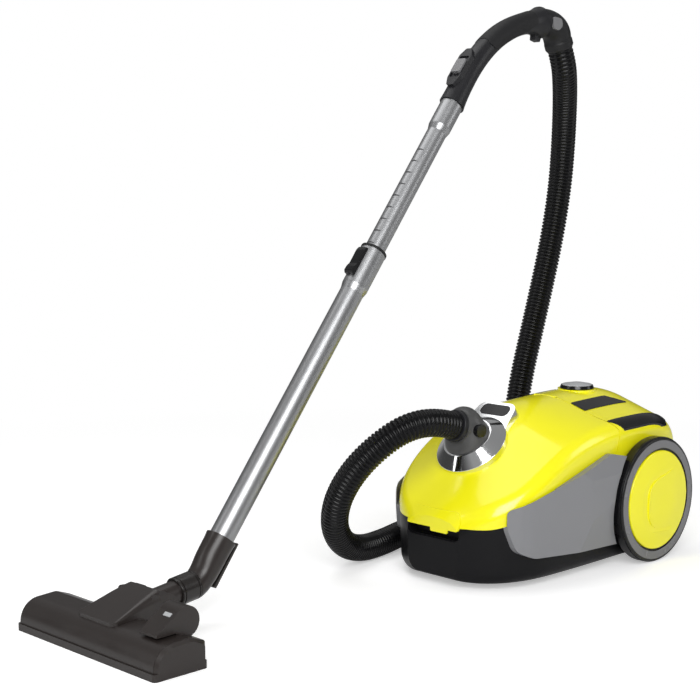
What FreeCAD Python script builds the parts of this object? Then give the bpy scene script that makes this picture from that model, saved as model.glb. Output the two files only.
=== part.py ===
"""Canister vacuum cleaner with hose, telescopic wand and switchable floor head.

Frame: X runs from the front (-X) to the rear, Y across, Z up. The origin is the
floor point under the middle of the rear axle. All sizes are millimetres.
"""
import FreeCAD, Part
import math
import os
import re

import Sketcher
from FreeCAD import Placement, Rotation, Vector

doc = FreeCAD.newDocument("CanisterVacuum")

SIZES = {
    # housing: one closed form, lofted through stations from nose to tail
    "wall": 2.6,
    "sole_draft": 6,
    "sole_radius": 18,
    "shoulder_radius": 24,
    "crown_radius": 120,
    "nose_x": -326, "nose_half": 50, "nose_shoulder": 86, "nose_crown": 97, "nose_sole": 15,
    "lip_x": -316, "lip_half": 67, "lip_shoulder": 100, "lip_crown": 117, "lip_sole": 10.5,
    "hood_x": -295, "hood_half": 94, "hood_shoulder": 117, "hood_crown": 144, "hood_sole": 9,
    "throat_x": -258, "throat_half": 116, "throat_shoulder": 139, "throat_crown": 187,
    "throat_sole": 9,
    "brow_x": -190, "brow_half": 125, "brow_shoulder": 177, "brow_crown": 236, "brow_sole": 9,
    "crest_x": -90, "crest_half": 126, "crest_shoulder": 204, "crest_crown": 245,
    "crest_sole": 9,
    "deck_x": -10, "deck_half": 126, "deck_shoulder": 207, "deck_crown": 247.5, "deck_sole": 9,
    "rump_x": 58, "rump_half": 123, "rump_shoulder": 199, "rump_crown": 240, "rump_sole": 9,
    "heel_x": 91, "heel_half": 112, "heel_shoulder": 178, "heel_crown": 218, "heel_sole": 14,
    "tail_x": 107, "tail_half": 88, "tail_shoulder": 122, "tail_crown": 142, "tail_sole": 44,
    # seams of the housing
    "seam_height": 98, "seam_level_x": -250, "seam_cheek_x": -286, "seam_cheek_height": 92,
    "seam_lip_x": -304, "seam_lip_height": 86, "seam_nose_height": 84, "seam_round": 50,
    "seam_gap": 0.5,
    "lid_gap": 1.6,
    "lid_seam_foot_x": -92,
    "lid_seam_waist_x": -75, "lid_seam_waist_height": 163,
    "lid_seam_ear_x": -67, "lid_seam_ear_height": 200,
    "lid_seam_top_height": 217,
    "hinge_x": -80,
    "hinge_drop": 2.6,
    "hinge_knuckle_dia": 5,
    "hinge_pin_dia": 2,
    "hinge_half_length": 20,
    "hinge_centre_half": 7,
    "running_gap": 0.3,
    # deck: pedals between two trim strips
    "band_inner": 71, "band_outer": 107, "band_front_x": -70, "band_rear_x": 62,
    "band_gap": 0.6,
    "trim_inner": 45, "trim_outer": 124, "trim_front_x": -78, "trim_slant": 24,
    "trim_inner_rear_x": 4, "trim_outer_rear_x": 54, "trim_rise": 1.2,
    "pedal_lug_width": 8, "pedal_pin_dia": 3, "pedal_pin_x": -64, "pedal_pin_height": 206,
    "pedal_ear": 4,
    # side panels
    "panel_tip_x": -291, "panel_tip_height": 115, "panel_tip_half": 103,
    "panel_cheek_rise": 88, "panel_chin_x": -280, "panel_chin_height": 56, "panel_jaw_x": -254,
    "panel_jaw_height": 45, "panel_cheek_x": -274, "panel_cheek_half": 115.5,
    "panel_peak_x": -100, "panel_peak_height": 171, "panel_arch_height": 158,
    "panel_rear_x": -40, "panel_sole_height": 36, "panel_flare": 16, "panel_arch_gap": 5,
    "panel_crease_height": 143, "panel_crease_lean": 10.4, "panel_crease_round": 14,
    "panel_sink": 9, "panel_gap": 1.8, "panel_skin": 1.2, "panel_relief_x": -215,
    # rear wheels
    "wheel_dia": 184, "wheel_inner_y": 128.5, "wheel_outer_y": 146.6, "axle_dia": 10,
    "axle_inner_y": 108, "axle_outer_y": 143, "wheel_bore_gap": 0.3, "hub_dia": 32,
    "hub_inner_y": 126.4, "cap_dia": 145, "cap_crown": 5.4, "cap_edge": 2.2,
    "cap_gap": 1.2, "cap_sink": 2.4,
    "rim_ring_inner_dia": 151, "rim_ring_outer_dia": 182, "rim_ring_rise": 2.0,
    "crescent_reach": 44, "crescent_width": 15, "crescent_corner": 34, "crescent_depth": 1.8,
    "tyre_round": 4, "wheel_web_y": 134, "axle_boss_dia": 24,
    # front caster
    "caster_x": -250, "caster_trail": 12, "caster_wheel_dia": 34, "caster_wheel_width": 15,
    "caster_axle_dia": 5, "caster_cheek": 2.6, "caster_plate_height": 40, "caster_stem_dia": 9,
    "caster_well_dia": 72, "caster_well_height": 50, "caster_gap": 0.5,
    # latch at the nose
    "latch_half": 47, "latch_top": 106.5, "latch_bottom": 81.5, "latch_rise": 2.4,
    "latch_corner": 13, "latch_recess_depth": 17, "latch_recess_bottom": 66,
    "latch_recess_rim": 4, "latch_tongue_left": 3, "latch_tongue_right": -28,
    "latch_tongue_bottom": 76,
    # hose inlet on the lid
    "inlet_x": -246, "inlet_height": 186, "inlet_lean": 39, "cone_base_dia": 106,
    "cone_top_dia": 72, "cone_height": 15, "cone_skirt": 21, "port_dia": 54, "port_wall": 2.4,
    "port_depth": 16, "tab_half": 31, "tab_length": 82, "tab_rise": 2, "tab_corner": 15,
    "window_centre": 67, "window_half_width": 25, "window_half_length": 10,
    "window_thick": 2,
    # hose connector
    "elbow_base_dia": 66, "elbow_mouth_dia": 47, "elbow_mouth_x": -279, "elbow_mouth_height": 216,
    "mouth_lean": 74,
    "elbow_wall": 3, "collar_dia": 45, "collar_length": 7,
    "button_length": 20, "button_width": 17, "button_face_y": -32,
    "button_x": -262, "button_height": 211,
    # inside the bag chamber
    "bulkhead_x": -56, "bulkhead_thick": 4, "holder_drop": 21, "holder_thick": 3,
    "holder_half_width": 58, "holder_half_length": 46, "bag_half_width": 88,
    "bag_rear_x": -68, "filter_thick": 5, "seal_height": 4, "seal_width": 3.5,
    "bag_plate_thick": 2,
    # inside the motor chamber
    "motor_y": 34, "motor_height": 106, "motor_dia": 96, "motor_front_x": -44,
    "motor_rear_x": 52, "reel_x": 22, "reel_height": 110, "reel_dia": 112, "reel_core_dia": 60,
    "reel_left_y": -104, "reel_right_y": -30, "reel_flange": 2.5, "bracket_thick": 3,
    # exhaust door, suction knob and cable outlet
    "door_half": 58, "door_bottom": 108, "door_top": 168, "door_gap": 0.8, "door_slat": 4,
    "cassette_x": 80, "cassette_thick": 11,
    "door_pitch": 9, "knob_x": -3, "knob_dia": 52, "knob_base": 241.9, "knob_top": 248,
    "knob_cap_rise": 3, "knob_seat_dia": 58, "knob_shaft_dia": 6, "outlet_y": -44,
    "outlet_height": 72, "outlet_dia": 16, "outlet_bore": 8,
    # wand: its own axis runs up from the elbow mouth
    "wand_foot_x": -637, "wand_foot_height": 99.5, "wand_y": 85, "wand_lean": 38,
    "lower_tube_dia": 33, "upper_tube_dia": 28.5, "tube_wall": 1.2, "sleeve_dia": 37,
    "sleeve_start": 386, "sleeve_end": 453, "tube_socket": 30, "upper_tube_start": 250,
    "bell_start": 662, "bell_dia": 33, "wand_length": 713, "sleeve_ring_length": 20,
    "sleeve_ring_lip": 4, "latch_slide_start": 404, "latch_slide_length": 44,
    "latch_slide_width": 15, "latch_slide_height": 6.5,
    # handle
    "grip_depth": 15, "grip_width": 17, "grip_end": 18.5, "flare": 24, "housing_radius": 21,
    "spigot_length": 42, "inlay_rise": 0.9, "regulator_travel": 14, "regulator_width": 17,
    "regulator_length": 24, "regulator_x": -167, "regulator_height": 705,
    "regulator_lean": 39, "insert_thick": 1.6,
    "cuff_x": 46, "cuff_height": 768, "cuff_lean": 154.5, "cuff_length": 14, "cuff_dia": 44,
    # floor head
    "head_front_x": -846, "head_rear_x": -771, "head_right_y": -50, "head_left_y": 220,
    "head_height": 40, "head_part_line": 9, "head_round": 27, "head_wall": 2.4,
    "head_rear_height": 32, "end_cap": 5, "base_lip": 2, "mouth_front_x": -822,
    "mouth_rear_x": -800, "mouth_right_y": 15, "mouth_left_y": 155, "brush_width": 7,
    "brush_front_x": -839, "brush_rear_x": -787, "brush_top": 19, "brush_gap": 0.3,
    "cover_half": 38, "cover_front_x": -829, "cover_front_height": 41.5,
    "cover_rear_height": 67, "cover_roof_x": -757, "cover_wall": 2.4,
    "tilt_x": -748, "tilt_height": 43, "knuckle_dia": 34, "knuckle_half": 20,
    "cheek_inner": 20.6, "cheek_outer": 34, "tilt_pin_dia": 6, "barrel_dia": 30,
    "ring_dia": 37, "ring_start": 39.4, "ring_length": 30.2, "neck_rise": 7.6,
    "head_elbow_dia": 38, "rocker_x": -783, "rocker_height": 52, "rocker_dia": 38,
    "rocker_right_y": -32, "rocker_left_y": 0, "rocker_tip_x": -827, "rocker_tip_height": 41,
    "rocker_gap": 0.6, "rocker_axle_dia": 5,
    # hose
    "hose_dia": 39,
}

STATIONS = ("nose", "lip", "hood", "throat", "brow", "crest", "deck", "rump", "heel", "tail")

sheet = doc.addObject("Spreadsheet::Sheet", "Sizes")
for row, (size_name, size_value) in enumerate(SIZES.items(), 1):
    sheet.set(f"A{row}", size_name)
    sheet.set(f"B{row}", str(size_value))
    sheet.setAlias(f"B{row}", size_name)
doc.recompute()

nodes = []
pockets = []


# ---------------------------------------------------------------- helpers
def bind(formula):
    """Point every size's name in a formula at its cell in the sheet."""
    def cell(found):
        word = found.group(0)
        return "Sizes." + word if word in SIZES else word
    return re.sub(r"[a-z][a-z0-9_]*", cell, str(formula))


def size(formula):
    """The present value of a formula, in millimetres or degrees."""
    result = sheet.evalExpression(bind(formula))
    return float(getattr(result, "Value", result))


def tie(thing, prop, formula):
    """Set a property from a formula, so that it follows the sheet."""
    thing.setExpression(prop, bind(formula))


def keep(thing, name):
    """Name a finished piece; its name is its node's name."""
    thing.Label = name
    nodes.append(thing)
    return thing


def place(thing, x, y, z, lean):
    """Stand a piece that was modelled along Z on a point, leaning towards +X."""
    thing.Placement = Placement(Vector(size(x), size(y), size(z)),
                                Rotation(Vector(0, 1, 0), size(lean)))
    for axis, formula in (("x", x), ("y", y), ("z", z)):
        tie(thing, f"Placement.Base.{axis}", formula)
    tie(thing, "Placement.Rotation.Angle", lean)
    return thing


def new_body(name):
    body = doc.addObject("PartDesign::Body", "Body")
    body.Label = name
    return body


def origin_plane(body, plane):
    return next(item for item in body.Origin.OriginFeatures if item.Role == plane + "_Plane")


def origin_axis(body, axis):
    return next(item for item in body.Origin.OriginFeatures if item.Role == axis + "_Axis")


def new_sketch(body, plane, base=("0", "0", "0"), lean=None):
    """A sketch on an origin plane, moved in that plane's own axes and leant about Y."""
    sketch = body.newObject("Sketcher::SketchObject", "Sketch")
    sketch.AttachmentSupport = [(origin_plane(body, plane), "")]
    sketch.MapMode = "FlatFace"
    turn = Rotation(Vector(0, 1, 0), size(lean)) if lean else Rotation()
    sketch.AttachmentOffset = Placement(Vector(*[size(step) for step in base]), turn)
    for axis, step in zip("xyz", base):
        tie(sketch, f"AttachmentOffset.Base.{axis}", step)
    if lean:
        tie(sketch, "AttachmentOffset.Rotation.Angle", lean)
    return sketch


def fix(sketch, kind, where, formula):
    """Add a dimension whose value follows the sheet."""
    index = sketch.addConstraint(Sketcher.Constraint(kind, *where, size(formula)))
    sketch.setExpression(f"Constraints[{index}]", bind(formula))


def draw_circle(sketch, x, y, radius):
    circle = Part.Circle(Vector(size(x), size(y), 0), Vector(0, 0, 1), size(radius))
    index = sketch.addGeometry(circle, False)
    fix(sketch, "DistanceX", (-1, 1, index, 3), x)
    fix(sketch, "DistanceY", (-1, 1, index, 3), y)
    fix(sketch, "Radius", (index,), radius)


def draw_outline(sketch, corners):
    """Draw a closed outline from corners (x, y, radius); a radius of 0 stays sharp."""
    points = [Vector(size(x), size(y), 0) for x, y, _ in corners]
    radii = [size(radius) for _, _, radius in corners]
    count = len(corners)
    rounds = []
    for i, corner in enumerate(points):
        back = (points[i - 1] - corner).normalize()
        ahead = (points[(i + 1) % count] - corner).normalize()
        half = back.getAngle(ahead) / 2
        reach = radii[i] / math.tan(half)
        centre = corner
        if radii[i] > 0:
            centre = corner + (back + ahead).normalize() * (radii[i] / math.sin(half))
        rounds.append((corner + back * reach, corner + ahead * reach, centre))
    lines = []
    for i in range(count):
        line = Part.LineSegment(rounds[i][1], rounds[(i + 1) % count][0])
        lines.append(sketch.addGeometry(line, False))
    for i, (x, y, radius) in enumerate(corners):
        before, after = lines[i - 1], lines[i]
        if radii[i] == 0:
            sketch.addConstraint(Sketcher.Constraint("Coincident", before, 2, after, 1))
            fix(sketch, "DistanceX", (-1, 1, after, 1), x)
            fix(sketch, "DistanceY", (-1, 1, after, 1), y)
            continue
        entry, leave, centre = rounds[i]
        turns_left = (points[i] - points[i - 1]).cross(points[(i + 1) % count] - points[i]).z > 0
        start, end = (entry, leave) if turns_left else (leave, entry)
        angles = [math.atan2(end_point.y - centre.y, end_point.x - centre.x)
                  for end_point in (start, end)]
        circle = Part.Circle(centre, Vector(0, 0, 1), radii[i])
        arc = sketch.addGeometry(Part.ArcOfCircle(circle, *angles), False)
        first, last = (1, 2) if turns_left else (2, 1)
        sketch.addConstraint(Sketcher.Constraint("Tangent", before, 2, arc, first))
        sketch.addConstraint(Sketcher.Constraint("Tangent", arc, last, after, 1))
        corner = sketch.addGeometry(Part.Point(points[i]), True)
        sketch.addConstraint(Sketcher.Constraint("PointOnObject", corner, 1, before))
        sketch.addConstraint(Sketcher.Constraint("PointOnObject", corner, 1, after))
        fix(sketch, "DistanceX", (-1, 1, corner, 1), x)
        fix(sketch, "DistanceY", (-1, 1, corner, 1), y)
        fix(sketch, "Radius", (arc,), radius)


def draw(sketch, outline):
    """An outline is a tuple (x, y, radius) for a circle, or a list of corners."""
    if isinstance(outline, tuple):
        draw_circle(sketch, *outline)
    else:
        draw_outline(sketch, outline)


def box_outline(left, right, low, high, radius="0"):
    return [(left, low, radius), (right, low, radius), (right, high, radius),
            (left, high, radius)]


def ring_of_corners(half_x, half_y, radius):
    return box_outline(f"-({half_x})", half_x, f"-({half_y})", half_y, radius)


def add_pad(body, plane, outline, low, high, taper=None):
    """Pad an outline between two levels along the plane's world axis."""
    start = f"-({high})" if plane == "XZ" else low
    sketch = new_sketch(body, plane, ("0", "0", start))
    draw(sketch, outline)
    pad = body.newObject("PartDesign::Pad", "Pad")
    pad.Profile = sketch
    tie(pad, "Length", f"({high}) - ({low})")
    if taper:
        pad.TaperAngle = size(taper)
    return pad


def add_pocket(body, plane, outline, low, high):
    """Cut an outline out between two levels along the plane's world axis."""
    start = f"-({low})" if plane == "XZ" else high
    sketch = new_sketch(body, plane, ("0", "0", start))
    draw(sketch, outline)
    pocket = body.newObject("PartDesign::Pocket", "Pocket")
    pocket.Profile = sketch
    tie(pocket, "Length", f"({high}) - ({low})")
    pockets.append(pocket)
    return pocket


def prism(name, plane, outline, low, high, pads=(), cuts=()):
    """A padded body, with more pads and with pockets given as (plane, outline, low, high)."""
    body = new_body(name)
    add_pad(body, plane, outline, low, high)
    for more in pads:
        add_pad(body, *more)
    for less in cuts:
        add_pocket(body, *less)
    return body


def turned(name, axis, at, outline):
    """A body turned about X, Y or Z through a point, from corners (radius, along, round)."""
    x, y, z = at
    body = new_body(name)
    if axis == "Z":
        sketch = new_sketch(body, "XZ", (x, z, f"-({y})"))
    else:
        sketch = new_sketch(body, "XY", (x, y, z))
    if axis == "X":
        outline = [(along, radius, corner) for radius, along, corner in outline]
    draw_outline(sketch, outline)
    turn = body.newObject("PartDesign::Revolution", "Revolution")
    turn.Profile = sketch
    turn.ReferenceAxis = (sketch, ["H_Axis" if axis == "X" else "V_Axis"])
    turn.Angle = 360
    return body


def loft(name, sketches_of):
    """A body lofted smoothly through the sketches that a function adds to it."""
    body = new_body(name)
    sketches = sketches_of(body)
    skin = body.newObject("PartDesign::AdditiveLoft", "Loft")
    skin.Profile = sketches[0]
    skin.Sections = sketches[1:]
    return body


def bent(name, y, stations, grow="0"):
    """A round bent piece: stations (x, z, lean, depth, width), half sizes across."""
    def sections(body):
        made = []
        for x, z, lean, depth, width in stations:
            sketch = new_sketch(body, "XY", (x, y, z), lean)
            depth = f"{depth} + {grow}"
            width = f"{width} + {grow}"
            draw_outline(sketch, ring_of_corners(depth, width, f"min({depth}; {width}) * 0.96"))
            made.append(sketch)
        return made
    return loft(name, sections)


def join(kind, name, base, tools):
    """A boolean: Cut takes the tools away one after another, Fuse and Common likewise."""
    result = base
    for tool in tools:
        step = doc.addObject("Part::" + kind, kind)
        step.Base = result
        step.Tool = tool
        step.Label = name + " step"
        result = step
    return result


def cut(name, base, *tools):
    return join("Cut", name, base, tools)


def fuse(name, base, *tools):
    return join("Fuse", name, base, tools)


def common(name, base, *tools):
    return join("Common", name, base, tools)


def rod(name, x, y, z, radius, length, direction):
    """A plain cylinder from a point along X, Y or Z."""
    cylinder = doc.addObject("Part::Cylinder", "Cylinder")
    cylinder.Label = name
    turn = {"X": Rotation(Vector(0, 1, 0), 90), "Y": Rotation(Vector(1, 0, 0), -90),
            "Z": Rotation()}[direction]
    cylinder.Placement = Placement(Vector(), turn)
    for axis, formula in (("x", x), ("y", y), ("z", z)):
        tie(cylinder, f"Placement.Base.{axis}", formula)
    tie(cylinder, "Radius", radius)
    tie(cylinder, "Height", length)
    return cylinder


def sided(side, formula):
    """A Y value on the left (1) or mirrored to the right (-1)."""
    return formula if side > 0 else f"-({formula})"


def span(side, inner, outer):
    """Two Y levels on one side, the lower first."""
    return (inner, outer) if side > 0 else (f"-({outer})", f"-({inner})")


SIDES = (("left", 1), ("right", -1))


# ---------------------------------------------------------------- housing
def hull(name, grow, shift):
    """The housing's form, grown outwards; its two ends move by the shift."""
    def sections(body):
        made = []
        for station in STATIONS:
            along = f"{station}_x"
            if station == STATIONS[0]:
                along += f" - ({shift})"
            if station == STATIONS[-1]:
                along += f" + ({shift})"
            half = f"{station}_half + {grow}"
            sketch = new_sketch(body, "YZ", ("0", "0", along))
            sole = f"{station}_sole - ({grow})"
            shoulder = f"{station}_shoulder + ({grow}) * 0.7"
            foot = f"{half} - sole_draft"
            draw_outline(sketch, [
                (f"-({foot})", sole, f"sole_radius + {grow}"),
                (foot, sole, f"sole_radius + {grow}"),
                (half, shoulder, f"shoulder_radius + {grow}"),
                ("0", f"{station}_crown + ({grow}) * 1.05", f"crown_radius + {grow}"),
                (f"-({half})", shoulder, f"shoulder_radius + {grow}")])
            made.append(sketch)
        return made
    return loft(name, sections)


outer_form = hull("housing outer form", "0", "0")
inner_form = hull("housing inner form", "(-wall)", "-wall")
trim_form = hull("trim outer form", "trim_rise", "trim_rise")
seal_form = hull("seal inner form", "(-wall - seal_width)", "-wall - seal_width")
shell = cut("housing skin", outer_form, inner_form)

FAR = "wheel_dia * 3"
lid_seam = [("lid_seam_foot_x", "seam_height + seam_gap / 2", "0"),
            ("lid_seam_waist_x", "lid_seam_waist_height", "20"),
            ("lid_seam_ear_x", "lid_seam_ear_height", "7"),
            ("hinge_x - lid_gap / 4", "lid_seam_top_height", "5"),
            ("hinge_x - lid_gap / 4", FAR, "0")]
rear_seam = [(f"{x} + {step}", z, radius) for (x, z, radius), step in
             zip(lid_seam, ("lid_gap", "lid_gap", "lid_gap", "lid_gap", "lid_gap"))]
side_span = (f"-({FAR})", FAR)



def front_seam(step):
    """The seam from the nose to where it runs level, raised by a step."""
    return [("nose_x * 2", f"seam_nose_height + {step}", "0"),
            ("seam_lip_x", f"seam_lip_height + {step}", "seam_round"),
            ("seam_cheek_x", f"seam_cheek_height + {step}", "seam_round"),
            ("seam_level_x", f"seam_height + {step}", "seam_round")]


low_space = prism("space below the seam", "XZ",
                  [("nose_x * 2", "-5", "0"), ("tail_x * 2", "-5", "0"),
                   ("tail_x * 2", "seam_height - seam_gap / 2", "0")]
                  + front_seam("(-seam_gap / 2)")[::-1], *side_span)
lid_space = prism("space of the lid", "XZ",
                  front_seam("seam_gap / 2") + lid_seam + [("nose_x * 2", FAR, "0")],
                  *side_span)
rear_space = prism("space of the rear shell", "XZ",
                   [("tail_x * 2", FAR, "0")] + rear_seam[::-1]
                   + [("tail_x * 2", "seam_height + seam_gap / 2", "0")], *side_span)

AXLE_Z = "wheel_dia / 2"


def make_tub():
    """Lower housing with the axle bosses and the openings for caster, latch and cable."""
    raw = common("tub skin", shell, low_space)
    well = rod("caster well", "caster_x", "0", "0", "caster_well_dia / 2",
               "caster_well_height", "Z")
    bosses = []
    holes = []
    for name, side in SIDES:
        low, high = span(side, "axle_inner_y", "deck_half - wall")
        boss = rod(f"axle boss {name}", "0", low, AXLE_Z, "axle_boss_dia / 2",
                   f"({high}) - ({low})", "Y")
        bosses.append(common(f"axle boss {name}", boss, low_space))
        low, high = span(side, "axle_inner_y", "axle_outer_y")
        holes.append(rod(f"axle hole {name}", "0", low, AXLE_Z, "axle_dia / 2",
                         f"({high}) - ({low})", "Y"))
    latch_mouth = prism("latch mouth", "YZ", [
        ("-latch_half", "latch_recess_bottom", "9"), ("latch_half", "latch_recess_bottom", "9"),
        ("latch_half", "seam_height", "0"), ("-latch_half", "seam_height", "0")],
        "nose_x - 20", "nose_x + wall + 3")
    outlet = rod("outlet hole", "tail_x - 12", "outlet_y", "outlet_height", "outlet_dia / 2 - 2",
                 "30", "X")
    tub = fuse("tub with bosses", raw, *bosses)
    keep(cut("tub", tub, well, *holes, latch_mouth, outlet), "tub")


def band_outline(side, gap):
    """Plan outline of a pedal's band, round at its rear."""
    low, high = span(side, f"band_inner + {gap}", f"band_outer - ({gap})")
    front, rear = f"band_front_x + {gap}", f"band_rear_x - ({gap})"
    radius = f"(band_outer - band_inner) / 2 - ({gap}) - 0.1"
    return [(front, low, "2"), (rear, low, radius), (rear, high, radius), (front, high, "2")]


def make_pedal_pivots():
    """Ears under the deck with the pin that each pedal tilts on."""
    made = []
    for name, side in SIDES:
        low, high = span(side, "band_inner - pedal_ear", "band_outer + pedal_ear")
        ears = prism(f"pedal ears {name}", "XZ",
                     box_outline("pedal_pin_x - 4", "pedal_pin_x + 4", "pedal_pin_height - 4",
                                 "crest_crown"), low, high)
        made.append(cut(f"pedal ears {name}", common(f"pedal ears {name}", ears, inner_form),
                        prism(f"pedal gap {name}", "XZ",
                              box_outline("pedal_pin_x - 6", "pedal_pin_x + 6",
                                          "pedal_pin_height - 6", "crest_crown * 1.1"),
                              *span(side, "band_inner", "band_outer"))))
        made.append(rod(f"pedal pin {name}", "pedal_pin_x", low, "pedal_pin_height",
                        "pedal_pin_dia / 2", "band_outer - band_inner + pedal_ear * 2", "Y"))
    return made


def make_exhaust_duct():
    """Frame behind the exhaust door that holds the filter cassette."""
    duct = prism("exhaust duct", "YZ",
                 box_outline("-(door_half + 2.5)", "door_half + 2.5", "door_bottom - 5",
                             "door_top + 2.5", "8"), "cassette_x", "tail_x + 5",
                 cuts=[("YZ", box_outline("-(door_half - 1 + running_gap)",
                                          "door_half - 1 + running_gap",
                                          "door_bottom - 2 - running_gap",
                                          "door_top - 1 + running_gap", "6.3"),
                        "cassette_x - 1", "tail_x + 6")])
    return common("exhaust duct", duct, inner_form)


def make_upper():
    """Rear shell, lid and the hinge between them."""
    rear = common("rear skin", shell, rear_space)
    bands = [prism(f"band opening {name}", "XY", band_outline(side, "0"), "wheel_dia", FAR)
             for name, side in SIDES]
    door_hole = prism("door opening", "YZ",
                      box_outline("-door_half", "door_half", "door_bottom", "door_top", "8"),
                      "heel_x - 25", "tail_x + 20")
    seat = rod("knob seat", "knob_x", "0", "knob_base - 12", "knob_seat_dia / 2",
               "12 - running_gap", "Z")
    shaft_hole = rod("knob shaft hole", "knob_x", "0", "knob_base - 20",
                     "knob_shaft_dia / 2 + running_gap", "30", "Z")
    notch = prism("hinge notch", "XY",
                  box_outline("hinge_x - hinge_knuckle_dia / 2 - 0.7",
                              "hinge_x + hinge_knuckle_dia / 2 + 0.7",
                              "-hinge_half_length - 1", "hinge_half_length + 1"),
                  "wheel_dia", FAR)
    hinge_z = HINGE_Z
    centre = rod("rear knuckle", "hinge_x", "-hinge_centre_half", hinge_z,
                 "hinge_knuckle_dia / 2", "hinge_centre_half * 2", "Y")
    centre_web = prism("rear knuckle web", "XZ",
                       box_outline("hinge_x", "hinge_x + hinge_knuckle_dia", f"{hinge_z} - 1.3",
                                   f"{hinge_z} + 1"), "-hinge_centre_half", "hinge_centre_half")
    pin_hole = rod("hinge pin hole", "hinge_x", "-hinge_half_length", hinge_z,
                   "hinge_pin_dia / 2", "hinge_half_length * 2", "Y")
    rear = cut("rear with openings", rear, *bands, door_hole, notch)
    fittings = [seat, centre, centre_web, make_exhaust_duct()] + make_pedal_pivots()
    rear = fuse("rear with fittings", rear, *fittings)
    keep(cut("rear_shell", rear, shaft_hole, pin_hole), "rear_shell")

    lid = common("lid skin", shell, lid_space)
    port_hole = place(rod("port hole", "0", "0", "0", "port_dia / 2 + running_gap", "80", "Z"),
                      "inlet_x + 30 * sin(inlet_lean)", "0",
                      "inlet_height - 30 * cos(inlet_lean)", "-inlet_lean")
    lid = cut("lid with openings", lid, port_hole, notch)
    knuckles = []
    for name, side in SIDES:
        low, high = span(side, "hinge_centre_half + running_gap", "hinge_half_length")
        knuckles.append(rod(f"lid knuckle {name}", "hinge_x", low, hinge_z,
                            "hinge_knuckle_dia / 2", f"({high}) - ({low})", "Y"))
        knuckles.append(prism(f"lid knuckle web {name}", "XZ",
                              box_outline("hinge_x - hinge_knuckle_dia", "hinge_x",
                                          f"{hinge_z} - 1.3", f"{hinge_z} + 1"), low, high))
    lid = fuse("lid with knuckles", lid, *knuckles)
    lid_pin_hole = rod("lid pin hole", "hinge_x", "-hinge_half_length", hinge_z,
                       "hinge_pin_dia / 2 + running_gap", "hinge_half_length * 2", "Y")
    keep(cut("lid_shell", lid, lid_pin_hole), "lid_shell")
    keep(rod("hinge_pin", "hinge_x", "-hinge_half_length", hinge_z, "hinge_pin_dia / 2",
             "hinge_half_length * 2", "Y"), "hinge_pin")


HINGE_Z = ("crest_crown - crown_radius * (1 / cos(atan((crest_crown - crest_shoulder)"
           " / crest_half)) - 1) + 0.6 - hinge_drop")


def make_pedals_and_trim():
    """Power and rewind pedals, cut from the deck's own skin, and the trim round them."""
    for (name, side), pedal_name in zip(SIDES, ("rewind_pedal", "power_pedal")):
        space = prism(f"{pedal_name} space", "XY", band_outline(side, "band_gap"),
                      "wheel_dia", FAR)
        plate = common(f"{pedal_name} plate", shell, space)
        middle = "(band_inner + band_outer) / 2"
        low, high = span(side, f"{middle} - pedal_lug_width", f"{middle} + pedal_lug_width")
        lug = prism(f"{pedal_name} lug", "XZ",
                    box_outline("pedal_pin_x - 3.6", "pedal_pin_x + 3.6", "pedal_pin_height - 3.6",
                                "crest_crown"), low, high)
        lug = common(f"{pedal_name} lug", lug, inner_form)
        bore = rod(f"{pedal_name} bore", "pedal_pin_x", low, "pedal_pin_height",
                   "pedal_pin_dia / 2 + running_gap", "pedal_lug_width * 2", "Y")
        keep(cut(pedal_name, fuse(pedal_name, plate, lug), bore), pedal_name)

        inner, outer = sided(side, "trim_inner"), sided(side, "trim_outer")
        near, away = sided(side, "band_inner - 0.4"), sided(side, "band_outer + 0.4")
        strips = fuse(f"trim space {name}",
                      prism(f"inner strip {name}", "XY", [
                          ("trim_front_x", inner, "1.5"), ("trim_inner_rear_x", inner, "1.5"),
                          ("trim_inner_rear_x + trim_slant", near, "1.5"),
                          ("trim_front_x", near, "1.5")], "crest_shoulder - 12", FAR),
                      prism(f"outer strip {name}", "XY", [
                          ("trim_front_x", away, "1.5"), ("trim_outer_rear_x + 16", away, "1.5"),
                          ("trim_outer_rear_x", outer, "5"),
                          ("trim_front_x + trim_slant", outer, "1.5")], "crest_shoulder - 12", FAR))
        raised = cut(f"trim skin {name}", trim_form, outer_form)
        keep(common(f"deck_trim_{name}", raised, strips, rear_space), f"deck_trim_{name}")


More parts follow.
